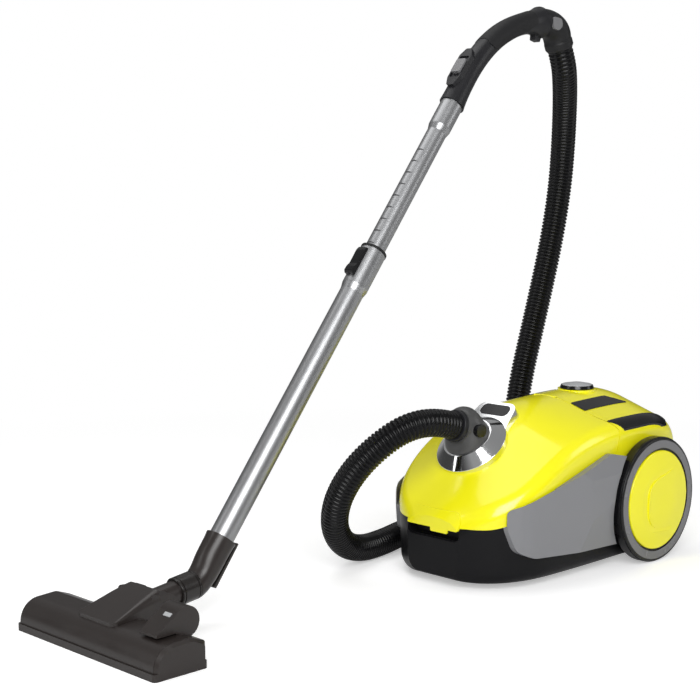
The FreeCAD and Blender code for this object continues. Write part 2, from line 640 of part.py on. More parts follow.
def make_side_panels():
    """Sculpted panels ahead of the wheels, flared out towards the arch."""
    lid_sweep = common("path of the lid", hull("path outer form", "panel_gap", "panel_gap"),
                       lid_space)
    for name, side in SIDES:
        face = prism(f"panel face {name}", "XZ", [
            ("panel_tip_x", "panel_tip_height - 1", "9"),
            ("panel_tip_x", "panel_cheek_rise", "34"),
            ("panel_chin_x", "panel_chin_height", "20"),
            ("panel_jaw_x", "panel_jaw_height", "34"),
            ("panel_rear_x", "panel_sole_height", "0"),
            ("panel_rear_x", "panel_arch_height", "0"),
            ("panel_peak_x", "panel_peak_height", "16")], *side_span)
        inner = sided(side, "nose_half - 12")
        plan = prism(f"panel plan {name}", "XY", [
            ("panel_tip_x - 1", inner, "0"), ("panel_rear_x", inner, "0"),
            ("panel_rear_x", sided(side, "crest_half + panel_flare"), "0"),
            ("panel_peak_x - 46", sided(side, "crest_half + panel_flare - 3"), "60"),
            ("throat_x", sided(side, "throat_half + 5"), "60"),
            ("panel_cheek_x", sided(side, "panel_cheek_half"), "20"),
            ("panel_tip_x - 1", sided(side, "panel_tip_half"), "3")], "0", FAR)
        flank = prism(f"panel flank {name}", "YZ", [
            (inner, "-panel_crease_height", "0"),
            (sided(side, "crest_half + 1"), "-panel_crease_height", "0"),
            (sided(side, "crest_half + 1"), "0", "60"),
            (sided(side, "crest_half + panel_flare + 1"), "panel_crease_height",
             "panel_crease_round"),
            (sided(side, "crest_half + panel_sink - 4"), "panel_crease_height + 62", "0"),
            (inner, "panel_crease_height + 62", "0")], "panel_tip_x - 40", "0")
        place(flank, "0", "0", "0", "-panel_crease_lean")
        arch = rod(f"panel arch {name}", "0", f"-({FAR})", AXLE_Z,
                   "wheel_dia / 2 + panel_arch_gap", f"{FAR} * 2", "Y")
        panel = common(f"panel block {name}", face, plan, flank)
        relief = prism(f"panel relief {name}", "XY", [
            ("panel_tip_x - 1", inner, "0"), ("panel_relief_x", inner, "0"),
            ("panel_relief_x", sided(side, "throat_half + 12 - panel_skin"), "0"),
            ("throat_x", sided(side, "throat_half + 5 - panel_skin"), "60"),
            ("panel_cheek_x", sided(side, "panel_cheek_half - panel_skin"), "20"),
            ("panel_tip_x - 1", sided(side, "panel_tip_half - panel_skin"), "0")], "0", FAR)
        relief = common(f"panel relief {name}", relief, lid_space)
        keep(cut(f"side_panel_{name}", panel, outer_form, arch, lid_sweep, relief),
             f"side_panel_{name}")


# ---------------------------------------------------------------- wheels
def crescent_outline(inset):
    """Outline of the cap's crescent, rounded at its front and open to the rear."""
    front = f"-crescent_reach + {inset}"
    corner = f"crescent_corner - {inset} / 2"
    return [(front, f"{AXLE_Z} - crescent_reach + {inset} / 3", corner),
            ("cap_dia", f"{AXLE_Z} - crescent_reach - 14 + {inset} / 3", "0"),
            ("cap_dia", f"{AXLE_Z} + crescent_reach * 1.7 - {inset} / 3", "0"),
            (front, f"{AXLE_Z} + crescent_reach * 0.7 - {inset} / 3", corner)]


def make_wheels():
    """Rear wheels: tyre body, grey rim ring and domed cap, each on a steel stub axle."""
    for name, side in SIDES:
        def at_side(outline):
            return [(radius, sided(side, along), corner) for radius, along, corner in outline]
        centre = ("0", "0", AXLE_Z)
        bore = "axle_dia / 2 + wheel_bore_gap"
        outer, inner = "wheel_outer_y", "wheel_inner_y"
        keep(turned("tyre", "Y", centre, at_side([
            (bore, "hub_inner_y", "0"), ("hub_dia / 2", "hub_inner_y", "0"),
            ("hub_dia / 2", "wheel_web_y", "0"), ("cap_dia / 2 - 6", "wheel_web_y", "0"),
            ("cap_dia / 2 - 6", inner, "0"), ("wheel_dia / 2", inner, "tyre_round"),
            ("wheel_dia / 2", f"{outer} - rim_ring_rise", "0.4"),
            ("rim_ring_outer_dia / 2", f"{outer} - rim_ring_rise", "0"),
            ("rim_ring_outer_dia / 2", f"{outer} + rim_ring_rise / 2", "2"),
            ("rim_ring_inner_dia / 2", f"{outer} + rim_ring_rise", "1"),
            ("rim_ring_inner_dia / 2", outer, "0"), ("cap_dia / 2 + cap_gap", outer, "0"),
            ("cap_dia / 2 + cap_gap", f"{outer} - cap_sink", "0"),
            (bore, f"{outer} - cap_sink", "0")])),
            f"wheel_{name}_tyre")
        cap = turned("cap", "Y", centre, at_side([
            ("0", f"{outer} - cap_sink", "0"), ("cap_dia / 2", f"{outer} - cap_sink", "0"),
            ("cap_dia / 2", f"{outer} + cap_edge", "2"),
            ("cap_dia / 4", f"{outer} + cap_crown", "220"),
            ("0", f"{outer} + cap_crown", "0")]))
        level, far = span(side, f"{outer} + cap_crown - crescent_depth", f"{outer} + 20")
        whole, middle = [prism(f"crescent {part} {name}", "XZ",
                               crescent_outline(inset), level, far)
                         for part, inset in (("outer", "0"), ("inner", "crescent_width"))]
        keep(cut(f"wheel_{name}_cap", cap, cut("crescent", whole, middle)), f"wheel_{name}_cap")
    pins = [turned(f"axle pin {name}", "Y", ("0", "0", AXLE_Z), [
        ("0", sided(side, "axle_inner_y"), "0"),
        ("axle_dia / 2", sided(side, "axle_inner_y"), "0"),
        ("axle_dia / 2", sided(side, "axle_outer_y"), "0"),
        ("0", sided(side, "axle_outer_y"), "0")]) for name, side in SIDES]
    keep(fuse("axle_pins", pins[0], pins[1]), "axle_pins")


def make_caster():
    """Front caster: a swivelling fork with a trailing wheel, in a cup on the tub's floor."""
    bore, stem = "caster_well_dia / 2", "caster_stem_dia / 2 + running_gap"
    keep(turned("cup", "Z", ("caster_x", "0", "0"), [
        (f"{bore} + 5", "throat_sole + wall", "0"), (f"{bore} + 5", "throat_sole + wall * 2", "0"),
        (f"{bore} + wall", "throat_sole + wall * 2", "0"),
        (f"{bore} + wall", "caster_well_height + wall", "4"),
        (stem, "caster_well_height + wall", "0"), (stem, "caster_well_height", "0"),
        (bore, "caster_well_height", "2"), (bore, "throat_sole + wall", "0")]), "caster_cup")
    wheel_x = "caster_x + caster_trail"
    inner = "caster_wheel_width / 2 + caster_gap"
    cheek = box_outline(f"{wheel_x} - 9", f"{wheel_x} + 9", "caster_wheel_dia / 2 - 8",
                        "caster_plate_height")
    fork = prism("caster fork plate", "XY",
                 box_outline("caster_x - 13", f"{wheel_x} + 9", f"-({inner} + caster_cheek)",
                             f"{inner} + caster_cheek", "6"),
                 "caster_plate_height", "caster_well_height - caster_gap",
                 pads=[("XZ", cheek, inner, f"{inner} + caster_cheek"),
                       ("XZ", cheek, f"-({inner} + caster_cheek)", f"-({inner})"),
                       ("XY", ("caster_x", "0", "caster_stem_dia / 2"), "caster_plate_height",
                        "caster_well_height + wall")])
    axle = rod("caster axle", wheel_x, f"-({inner} + caster_cheek)", "caster_wheel_dia / 2",
               "caster_axle_dia / 2", f"({inner} + caster_cheek) * 2", "Y")
    keep(fuse("caster_fork", fork, axle), "caster_fork")
    keep(turned("caster wheel", "Y", (wheel_x, "0", "caster_wheel_dia / 2"), [
        ("caster_axle_dia / 2 + running_gap", "-caster_wheel_width / 2", "0"),
        ("caster_wheel_dia / 2", "-caster_wheel_width / 2", "2.5"),
        ("caster_wheel_dia / 2", "caster_wheel_width / 2", "2.5"),
        ("caster_axle_dia / 2 + running_gap", "caster_wheel_width / 2", "0")]), "caster_wheel")


# ---------------------------------------------------------------- lid fittings
def make_latch():
    """Latch flap, curved like the nose that it lies on, and the pocket under it."""
    space = prism("latch space", "YZ", [
        ("-latch_half", "latch_bottom", "4"), ("latch_tongue_right", "latch_bottom", "0.5"),
        ("latch_tongue_right", "latch_tongue_bottom", "2"),
        ("latch_tongue_left", "latch_tongue_bottom", "2"),
        ("latch_tongue_left", "latch_bottom", "0.5"), ("latch_half", "latch_bottom", "4"),
        ("latch_half", "latch_top", "latch_corner"),
        ("-latch_half", "latch_top", "latch_corner")], "nose_x - 20", "lip_x + 10")
    flap = cut("latch skin", hull("latch outer form", "latch_rise", "latch_rise"),
               hull("latch inner form", "running_gap", "running_gap"))
    keep(common("latch_flap", flap, space), "latch_flap")
    front, rear = "nose_x + wall + running_gap", "nose_x + latch_recess_depth"
    half, low = "latch_half + latch_recess_rim", "latch_recess_bottom - latch_recess_rim"
    box = prism("latch pocket box", "YZ",
                box_outline(f"-({half})", half, low, "seam_nose_height - 1", "9"), front, rear,
                cuts=[("YZ", box_outline("-(latch_half - 2)", "latch_half - 2",
                                         "latch_recess_bottom + 1.5", "seam_nose_height - 3",
                                         "6"), f"{front} - 1", f"{rear} - 2")])
    keep(common("latch_pocket", box, inner_form), "latch_pocket")


def make_inlet():
    """Chrome collar with its tab, the fill window and the port through the lid."""
    def seated(thing):
        return place(thing, "inlet_x", "0", "inlet_height", "-inlet_lean")
    cone = turned("inlet cone", "Z", ("0", "0", "0"), [
        ("port_dia / 2 - 0.6", "-cone_skirt", "0"),
        ("cone_base_dia / 2", "-cone_skirt", "0"), ("cone_base_dia / 2", "1.5", "1"),
        ("cone_top_dia / 2", "cone_height", "1.5"), ("port_dia / 2 - 0.6", "cone_height", "0")])
    tab = prism("inlet tab", "XY", [
        ("port_dia / 2 + 8", "-tab_half - 8", "0"), ("tab_length", "-tab_half", "tab_corner"),
        ("tab_length", "tab_half", "tab_corner"), ("port_dia / 2 + 8", "tab_half + 8", "0")],
        "-cone_skirt", "tab_rise")
    window_hole = prism("window hole", "XY",
                        box_outline("window_centre - window_half_length",
                                    "window_centre + window_half_length",
                                    "-window_half_width", "window_half_width",
                                    "window_half_length * 0.8"),
                        "tab_rise - window_thick", "tab_rise + 5")
    collar = cut("collar trimmed", fuse("collar", seated(cone), seated(tab)),
                 outer_form, seated(window_hole))
    port = turned("inlet port", "Z", ("0", "0", "0"), [
        ("port_dia / 2 - port_wall", "-port_depth", "0"), ("port_dia / 2", "-port_depth", "0"),
        ("port_dia / 2", "cone_height + 2", "0"),
        ("port_dia / 2 - port_wall", "cone_height + 2", "0")])
    keep(fuse("inlet_collar", collar, seated(port)), "inlet_collar")
    window = prism("window pane", "XY",
                   box_outline("window_centre - window_half_length + 0.2",
                               "window_centre + window_half_length - 0.2",
                               "-window_half_width + 0.2", "window_half_width - 0.2",
                               "window_half_length * 0.8 - 0.2"),
                   "tab_rise - window_thick", "tab_rise + 0.6")
    keep(cut("fill_window", seated(window), outer_form), "fill_window")


ELBOW = (("inlet_x - (cone_height + 0.3) * sin(inlet_lean)",
          "inlet_height + (cone_height + 0.3) * cos(inlet_lean)", "-inlet_lean",
          "elbow_base_dia / 2", "elbow_base_dia / 2"),
         ("inlet_x - 24 * sin(inlet_lean)", "inlet_height + 24 * cos(inlet_lean)",
          "-inlet_lean - 8", "elbow_base_dia / 2 - 2", "elbow_base_dia / 2 - 2"),
         ("inlet_x - 40 * sin(inlet_lean) + 2", "inlet_height + 40 * cos(inlet_lean) + 1", "-62",
          "elbow_mouth_dia / 2 + 2.5", "elbow_mouth_dia / 2 + 2.5"),
         ("elbow_mouth_x", "elbow_mouth_height", "-mouth_lean", "elbow_mouth_dia / 2",
          "elbow_mouth_dia / 2"))


def make_connector():
    """Swivel elbow on the inlet, its release button and the hose's end collar."""
    body = bent("elbow outer", "0", ELBOW)
    bore = bent("elbow bore", "0", ELBOW, "(-elbow_wall)")
    button = [(f"button_x - {x} * button_length / 2", f"button_height + {z} * button_width / 2",
               "button_width * 0.45") for x, z in ((1, -1), (-1, -1), (-1, 1), (1, 1))]
    socket = prism("button socket", "XZ",
                   box_outline(f"button_x - button_length / 2 - running_gap",
                               f"button_x + button_length / 2 + running_gap",
                               f"button_height - button_width / 2 - running_gap",
                               f"button_height + button_width / 2 + running_gap",
                               f"button_width * 0.45 + running_gap"),
                   "button_face_y - 12", "button_face_y + 16")
    hollow = cut("elbow shell", body, bore)
    keep(cut("hose_elbow", hollow, socket), "hose_elbow")
    keep(prism("release_button", "XZ", button, "button_face_y", "button_face_y + 9"),
         "release_button")
    collar = turned("collar", "Z", ("0", "0", "0"), [
        ("12", "running_gap", "0"), ("collar_dia / 2", "running_gap", "0"),
        ("collar_dia / 2", "collar_length", "1.5"), ("12", "collar_length", "0")])
    keep(place(collar, "elbow_mouth_x", "0", "elbow_mouth_height", "-mouth_lean"),
         "hose_collar_front")


# ---------------------------------------------------------------- inside the housing
def make_bag_chamber():
    """Bulkhead, motor filter, bag holder, the bag with its plate, and the lid seals."""
    slab = prism("bulkhead slab", "YZ",
                 box_outline(f"-({FAR})", FAR, "0", FAR), "bulkhead_x",
                 "bulkhead_x + bulkhead_thick")
    slot_body = new_body("bulkhead slots")
    first = add_pad(slot_body, "XZ",
                    box_outline("bulkhead_x - 5", "bulkhead_x + bulkhead_thick + 5", "84", "90"),
                    "-45", "45")
    rows = slot_body.newObject("PartDesign::LinearPattern", "Rows")
    rows.Originals = [first]
    rows.Direction = (origin_axis(slot_body, "Z"), [""])
    rows.Length = 80
    rows.Occurrences = 6
    slot_body.Tip = rows
    wall = common("bulkhead blank", slab, inner_form)
    reliefs = [prism(f"pedal relief {name}", "XY", band_outline(side, "(-pedal_ear)"),
                     "pedal_pin_height", FAR) for name, side in SIDES]
    keep(cut("bulkhead", wall, slot_body, *reliefs), "bulkhead")
    keep(prism("motor_filter", "YZ", box_outline("-56", "56", "76", "176", "6"),
               "bulkhead_x - filter_thick", "bulkhead_x"), "motor_filter")

    rail = [("inlet_x - 42", "0", "0"), ("inlet_x - 22", "0", "0"),
            ("inlet_x - 14", "inlet_height - 46", "0"),
            ("inlet_x - 26", "inlet_height - 45", "0")]
    plate = place(prism("holder plate", "XY",
                        box_outline("-holder_half_length", "holder_half_length",
                                    "-holder_half_width", "holder_half_width", "8"),
                        "-holder_drop - holder_thick", "-holder_drop",
                        cuts=[("XY", ("0", "0", "port_dia / 2 - port_wall"),
                               "-holder_drop - holder_thick - 1", "-holder_drop + 1")]),
                  "inlet_x", "0", "inlet_height", "-inlet_lean")
    legs = [prism(f"holder leg {name}", "XZ", rail,
                  *span(side, "holder_half_width - 4", "holder_half_width"))
            for name, side in SIDES]
    keep(common("bag_holder", fuse("holder", plate, *legs), inner_form), "bag_holder")
    under = "-holder_drop - holder_thick"
    bag_plate = place(prism("bag plate", "XY",
                            box_outline("-holder_half_length + 4", "holder_half_length - 4",
                                        "-holder_half_width + 8", "holder_half_width - 8", "6"),
                            f"{under} - bag_plate_thick", under,
                            cuts=[("XY", ("0", "0", "port_dia / 2 - port_wall - 1"),
                                   f"{under} - bag_plate_thick - 1", f"{under} + 1")]),
                      "inlet_x", "0", "inlet_height", "-inlet_lean")
    slope = "(holder_drop + holder_thick + bag_plate_thick)"
    shift_x, shift_z = f"{slope} * sin(inlet_lean)", f"{slope} * cos(inlet_lean)"
    top_x = f"inlet_x + {shift_x} + 44 * cos(inlet_lean)"
    top_z = f"inlet_height - {shift_z} + 44 * sin(inlet_lean)"
    low_x = f"inlet_x + {shift_x} - 36 * cos(inlet_lean)"
    low_z = f"inlet_height - {shift_z} - 36 * sin(inlet_lean)"
    floor = "caster_well_height + wall + running_gap"
    pouch = prism("bag pouch", "XZ", [
        (low_x, floor, "20"), ("bag_rear_x", floor, "24"),
        ("bag_rear_x", "deck_shoulder - 6", "30"), (f"{top_x} + 8", f"{top_z} + 4", "20"),
        (top_x, top_z, "0"), (low_x, low_z, "0")], "-bag_half_width", "bag_half_width")
    keep(common("dust_bag", fuse("bag with plate", pouch, bag_plate), seal_form), "dust_bag")
    seam = "seam_height - seam_gap / 2"
    rim = prism("seal space", "XZ",
                box_outline("seam_level_x + 4", "lid_seam_foot_x - 2", f"{seam} - seal_height", seam),
                *side_span)
    seal = cut("seal ring", inner_form, seal_form)
    keep(common("lid_seal", seal, rim), "lid_seal")


def make_motor_chamber():
    """Fan and motor unit in its rubber mount, cable reel, filter cassette and controls."""
    middle = ("0", "motor_y", "motor_height")
    keep(turned("motor", "X", middle, [
        ("0", "motor_front_x", "0"), ("motor_dia / 2 - 20", "motor_front_x", "0"),
        ("motor_dia / 2 - 20", "bulkhead_x + bulkhead_thick", "0"),
        ("motor_dia / 2 - 8", "bulkhead_x + bulkhead_thick", "0"),
        ("motor_dia / 2 - 8", "motor_front_x", "0"),
        ("motor_dia / 2", "motor_front_x + 8", "3"), ("motor_dia / 2", "motor_front_x + 44", "3"),
        ("motor_dia / 2 - 9", "motor_front_x + 52", "2"),
        ("motor_dia / 2 - 9", "motor_rear_x - 10", "4"), ("12", "motor_rear_x - 4", "1"),
        ("12", "motor_rear_x", "0"), ("0", "motor_rear_x", "0")]), "motor_unit")
    floor = "deck_sole + wall - 1"
    cradle = prism("motor cradle", "YZ",
                   box_outline("motor_y - 30", "motor_y + 30", floor, "motor_height - 30"),
                   "motor_front_x + 14", "motor_front_x + 36",
                   cuts=[("YZ", ("motor_y", "motor_height", "motor_dia / 2 + running_gap"),
                          "motor_front_x + 10", "motor_front_x + 40")])
    bracket = prism("reel bracket", "XZ",
                    [("reel_x - 26", floor, "0"), ("reel_x + 26", floor, "0"),
                     ("reel_x + 12", "reel_height + 10", "6"),
                     ("reel_x - 12", "reel_height + 10", "6")],
                    "reel_right_y + running_gap", "reel_right_y + running_gap + bracket_thick")
    plate = prism("cradle plate", "XY",
                  box_outline("motor_front_x + 14", "reel_x + 26", "reel_right_y + running_gap",
                              "motor_y + 30"), floor, f"{floor} + bracket_thick")
    keep(common("motor_cradle", fuse("cradle with bracket", cradle, bracket, plate), inner_form),
         "motor_cradle")
    flange = "reel_flange"
    keep(turned("reel", "Y", ("reel_x", "0", "reel_height"), [
        ("0", "reel_left_y", "0"), ("reel_dia / 2", "reel_left_y", "0"),
        ("reel_dia / 2", f"reel_left_y + {flange}", "0"),
        ("reel_core_dia / 2 + 18", f"reel_left_y + {flange}", "0"),
        ("reel_core_dia / 2 + 18", f"reel_right_y - {flange}", "0"),
        ("reel_dia / 2", f"reel_right_y - {flange}", "0"), ("reel_dia / 2", "reel_right_y", "0"),
        ("0", "reel_right_y", "0")]), "cable_reel")
    keep(prism("control_board", "XY", box_outline("knob_x - 24", "knob_x + 24", "-24", "24", "2"),
               "knob_base - 26", "knob_base - 24.4",
               pads=[("XY", ("knob_x", "0", "8"), "knob_base - 25", "knob_base - 12")],
               cuts=[("XY", ("knob_x", "0", "knob_shaft_dia / 2 + running_gap"),
                      "knob_base - 14.3", "knob_base - 11")]), "control_board")
    keep(turned("outlet", "X", ("tail_x", "outlet_y", "outlet_height"), [
        ("outlet_bore / 2", "-8", "0"), ("outlet_dia / 2 - 2", "-8", "0"),
        ("outlet_dia / 2 - 2", "0", "0"), ("outlet_dia / 2", "0", "0"),
        ("outlet_dia / 2", "1.6", "0.8"), ("outlet_bore / 2", "3", "0.8")]), "cable_outlet")


def make_exhaust_door():
    """Slatted exhaust door in the tail, with the filter cassette behind it."""
    opening = prism("door space", "YZ",
                    box_outline("-(door_half - door_gap)", "door_half - door_gap",
                                "door_bottom + running_gap", "door_top - door_gap", "7"),
                    "heel_x - 25", "tail_x + 20")
    slot_body = new_body("door slots")
    first = add_pad(slot_body, "XZ",
                    box_outline("heel_x - 30", "tail_x + 25", "door_bottom + 9",
                                "door_bottom + 9 + door_pitch - door_slat"),
                    "-(door_half - 10)", "door_half - 10")
    rows = slot_body.newObject("PartDesign::LinearPattern", "Rows")
    rows.Originals = [first]
    rows.Direction = (origin_axis(slot_body, "Z"), [""])
    tie(rows, "Length", "door_pitch * 4")
    rows.Occurrences = 5
    slot_body.Tip = rows
    door = common("door skin", shell, opening)
    keep(cut("exhaust_door", door, slot_body), "exhaust_door")
    keep(prism("exhaust_filter", "YZ",
               box_outline("-(door_half - 1)", "door_half - 1", "door_bottom - 2", "door_top - 1",
                           "6"), "cassette_x", "cassette_x + cassette_thick"), "exhaust_filter")


def make_knob():
    """Suction knob with its shaft, and the bright cap on top."""
    centre = ("knob_x", "0", "0")
    keep(turned("knob", "Z", centre, [
        ("0", "knob_base - 14", "0"), ("knob_shaft_dia / 2", "knob_base - 14", "0"),
        ("knob_shaft_dia / 2", "knob_base", "0"), ("knob_dia / 2", "knob_base", "0.8"),
        ("knob_dia / 2 - 2", "knob_top - 1", "0"), ("knob_dia / 2 - 3.4", "knob_top - 1", "0"),
        ("knob_dia / 2 - 3.4", "knob_top - 3", "0"), ("0", "knob_top - 3", "0")]), "suction_knob")
    keep(turned("knob cap", "Z", centre, [
        ("0", "knob_top - 3", "0"), ("knob_dia / 2 - 3.6", "knob_top - 3", "0"),
        ("knob_dia / 2 - 3.6", "knob_top", "1.4"), ("6", "knob_top + knob_cap_rise", "40"),
        ("0", "knob_top + knob_cap_rise", "0")]), "knob_cap")


# ---------------------------------------------------------------- wand
def on_wand(thing):
    """Stand a piece on the wand's axis, measured up from the elbow's mouth."""
    return place(thing, "wand_foot_x", "wand_y", "wand_foot_height", "wand_lean")


def make_wand():
    """Lower and upper tube, the guide ring and the sliding latch."""
    axis = ("0", "0", "0")
    lower, upper = "lower_tube_dia / 2", "upper_tube_dia / 2"
    keep(on_wand(turned("lower tube", "Z", axis, [
        (f"{lower} - tube_wall", "-tube_socket", "0"), (lower, "-tube_socket", "0"),
        (lower, "sleeve_start", "8"), ("sleeve_dia / 2", "sleeve_start + 9", "8"),
        ("sleeve_dia / 2", "sleeve_end", "0"), ("sleeve_dia / 2 - tube_wall", "sleeve_end", "0"),
        ("sleeve_dia / 2 - tube_wall", "sleeve_start + 9", "8"),
        (f"{lower} - tube_wall", "sleeve_start", "8")])), "wand_lower_tube")
    keep(on_wand(turned("sleeve ring", "Z", axis, [
        (f"{upper} + running_gap", "sleeve_end - sleeve_ring_length", "0"),
        ("sleeve_dia / 2 - tube_wall", "sleeve_end - sleeve_ring_length", "0"),
        ("sleeve_dia / 2 - tube_wall", "sleeve_end", "0"),
        ("sleeve_dia / 2 + 0.6", "sleeve_end", "0"),
        ("sleeve_dia / 2 + 0.6", "sleeve_end + sleeve_ring_lip", "1"),
        (f"{upper} + running_gap", "sleeve_end + sleeve_ring_lip", "0")])), "sleeve_ring")
    keep(on_wand(turned("upper tube", "Z", axis, [
        (f"{upper} - tube_wall", "upper_tube_start", "0"), (upper, "upper_tube_start", "0"),
        (upper, "bell_start", "8"), ("bell_dia / 2", "bell_start + 9", "8"),
        ("bell_dia / 2", "wand_length", "0"), ("bell_dia / 2 - tube_wall", "wand_length", "0"),
        ("bell_dia / 2 - tube_wall", "bell_start + 9", "8"),
        (f"{upper} - tube_wall", "bell_start", "8")])), "wand_upper_tube")
    top = "-(sleeve_dia / 2 + latch_slide_height)"
    seat = "-(sleeve_dia / 2 - 2)"
    start = "latch_slide_start"
    slide = prism("latch slide", "XZ", [
        (seat, start, "0"), (f"{top} + 3", start, "1"), (top, f"{start} + 3", "2"),
        (f"{top} + 0.5", f"{start} + 10", "3"), (f"{top} + 2.6", f"{start} + 16", "6"),
        (f"{top} + 2.2", f"{start} + latch_slide_length - 6", "8"),
        (f"{top} + 4.2", f"{start} + latch_slide_length", "1"),
        (seat, f"{start} + latch_slide_length", "0")],
        "-latch_slide_width / 2", "latch_slide_width / 2")
    sleeve_space = rod("sleeve space", "0", "0", "0", "sleeve_dia / 2 + running_gap",
                       "wand_length", "Z")
    keep(cut("sleeve_latch", on_wand(slide), on_wand(sleeve_space)), "sleeve_latch")


HANDLE = (("wand_foot_x + (wand_length + 0.3) * sin(wand_lean)",
           "wand_foot_height + (wand_length + 0.3) * cos(wand_lean)", "wand_lean", "grip_end",
           "grip_end"),
          ("-177", "691", "wand_lean + 1", "grip_depth + 1", "grip_width"),
          ("-146", "727", "wand_lean + 8", "grip_depth", "grip_width"),
          ("-111", "755.5", "wand_lean + 19", "grip_depth", "grip_width"),
          ("-73", "775.5", "wand_lean + 30", "grip_depth", "grip_width"),
          ("-41", "785.5", "wand_lean + 39", "grip_depth + 0.5", "grip_width"),
          ("-18", "789.5", "wand_lean + 45", "grip_depth + 3", "grip_width + 2"),
          ("-2", "790.5", "wand_lean + 49", "flare", "flare"))
HOUSING = (("-1.5", "790.5", "wand_lean + 49", "housing_radius", "housing_radius"),
           ("20", "790.5", "wand_lean + 55", "housing_radius", "housing_radius"),
           ("37", "783", "wand_lean + 82", "housing_radius + 1", "housing_radius + 0.5"),
           ("cuff_x", "cuff_height", "cuff_lean", "housing_radius", "housing_radius"))


def make_handle():
    """Curved handle, its soft inlay, the suction regulator and the hose's swivel housing."""
    core = bent("handle core", "wand_y", HANDLE)
    spigot = on_wand(turned("handle spigot", "Z", ("0", "0", "0"), [
        ("bell_dia / 2 - tube_wall - 5", "wand_length - spigot_length", "0"),
        ("bell_dia / 2 - tube_wall - running_gap", "wand_length - spigot_length", "1"),
        ("bell_dia / 2 - tube_wall - running_gap", "wand_length + 2", "0"),
        ("bell_dia / 2 - tube_wall - 5", "wand_length + 2", "0")]))
    skin = cut("inlay skin", bent("inlay form", "wand_y", HANDLE[:-1], "inlay_rise"), core)
    strip = prism("inlay space", "XZ", [
        ("-132", "752", "0"), ("-120", "742", "10"), ("-40", "776", "20"), ("-24", "788", "4"),
        ("-30", "830", "0"), ("-132", "830", "0")],
        "wand_y - 40", "wand_y + 40")
    keep(common("grip_inlay", skin, strip), "grip_inlay")

    def at_regulator(thing):
        return place(thing, "regulator_x", "wand_y", "regulator_height", "regulator_lean")
    reach = "regulator_length / 2 + regulator_travel / 2 + 3"
    frame = prism("regulator rim", "YZ", [
        ("-6", f"-({reach}) - 12", "3"), ("6", f"-({reach}) - 12", "3"),
        ("regulator_width / 2 + 3", f"-({reach}) + 2", "6"),
        ("regulator_width / 2 + 3", reach, "6"), ("5", f"{reach} + 12", "3"),
        ("-5", f"{reach} + 12", "3"), ("-regulator_width / 2 - 3", reach, "6"),
        ("-regulator_width / 2 - 3", f"-({reach}) + 2", "6")],
        "-grip_depth - 4.5", "-grip_depth + 8")
    recess = prism("regulator recess", "YZ",
                   box_outline("-regulator_width / 2 - running_gap",
                               "regulator_width / 2 + running_gap", f"-({reach}) + 2.5",
                               f"{reach} - 2.5", "3"), "-grip_depth - 12", "-grip_depth - 2")
    keep(at_regulator(prism("regulator", "YZ", ring_of_corners(
        "regulator_width / 2", "regulator_length / 2", "3"), "-grip_depth - 7.5",
        "-grip_depth - 2.3")), "regulator_slide")
    housing = bent("hose housing", "wand_y", HOUSING)
    keep(housing, "swivel_housing")
    plate = prism("housing insert", "XZ", [
        ("6", "782", "6"), ("20", "779", "8"), ("30", "786", "6"), ("27", "797", "6"),
        ("8", "799", "3")], "wand_y - housing_radius - insert_thick", "wand_y")
    keep(cut("housing_insert", plate, housing), "housing_insert")
    lug = prism("handle lug", "XZ", [
        ("-16", "764", "2"), ("-4", "761", "2"), ("2", "775", "0"), ("-14", "778", "0")],
        "wand_y - 5", "wand_y + 5")
    handle = fuse("handle with fittings", core, spigot, at_regulator(frame), lug)
    keep(cut("handle_shell", handle, at_regulator(recess), housing), "handle_shell")
    keep(place(turned("cuff", "Z", ("0", "0", "0"), [
        ("12", "running_gap", "0"), ("cuff_dia / 2 - 1", "running_gap", "0"),
        ("cuff_dia / 2", "3", "1"), ("cuff_dia / 2", "cuff_length - 3", "1"),
        ("cuff_dia / 2 - 1.5", "cuff_length", "1"), ("12", "cuff_length", "0")]),
        "cuff_x", "wand_y", "cuff_height", "cuff_lean"), "hose_cuff_rear")


# ---------------------------------------------------------------- floor head
RING_END = "(ring_start + ring_length)"


def on_neck(thing):
    """Stand a piece on the neck's axis, measured rearwards from the tilt pivot."""
    return place(thing, "tilt_x", "wand_y", "tilt_height", "90 - neck_rise")


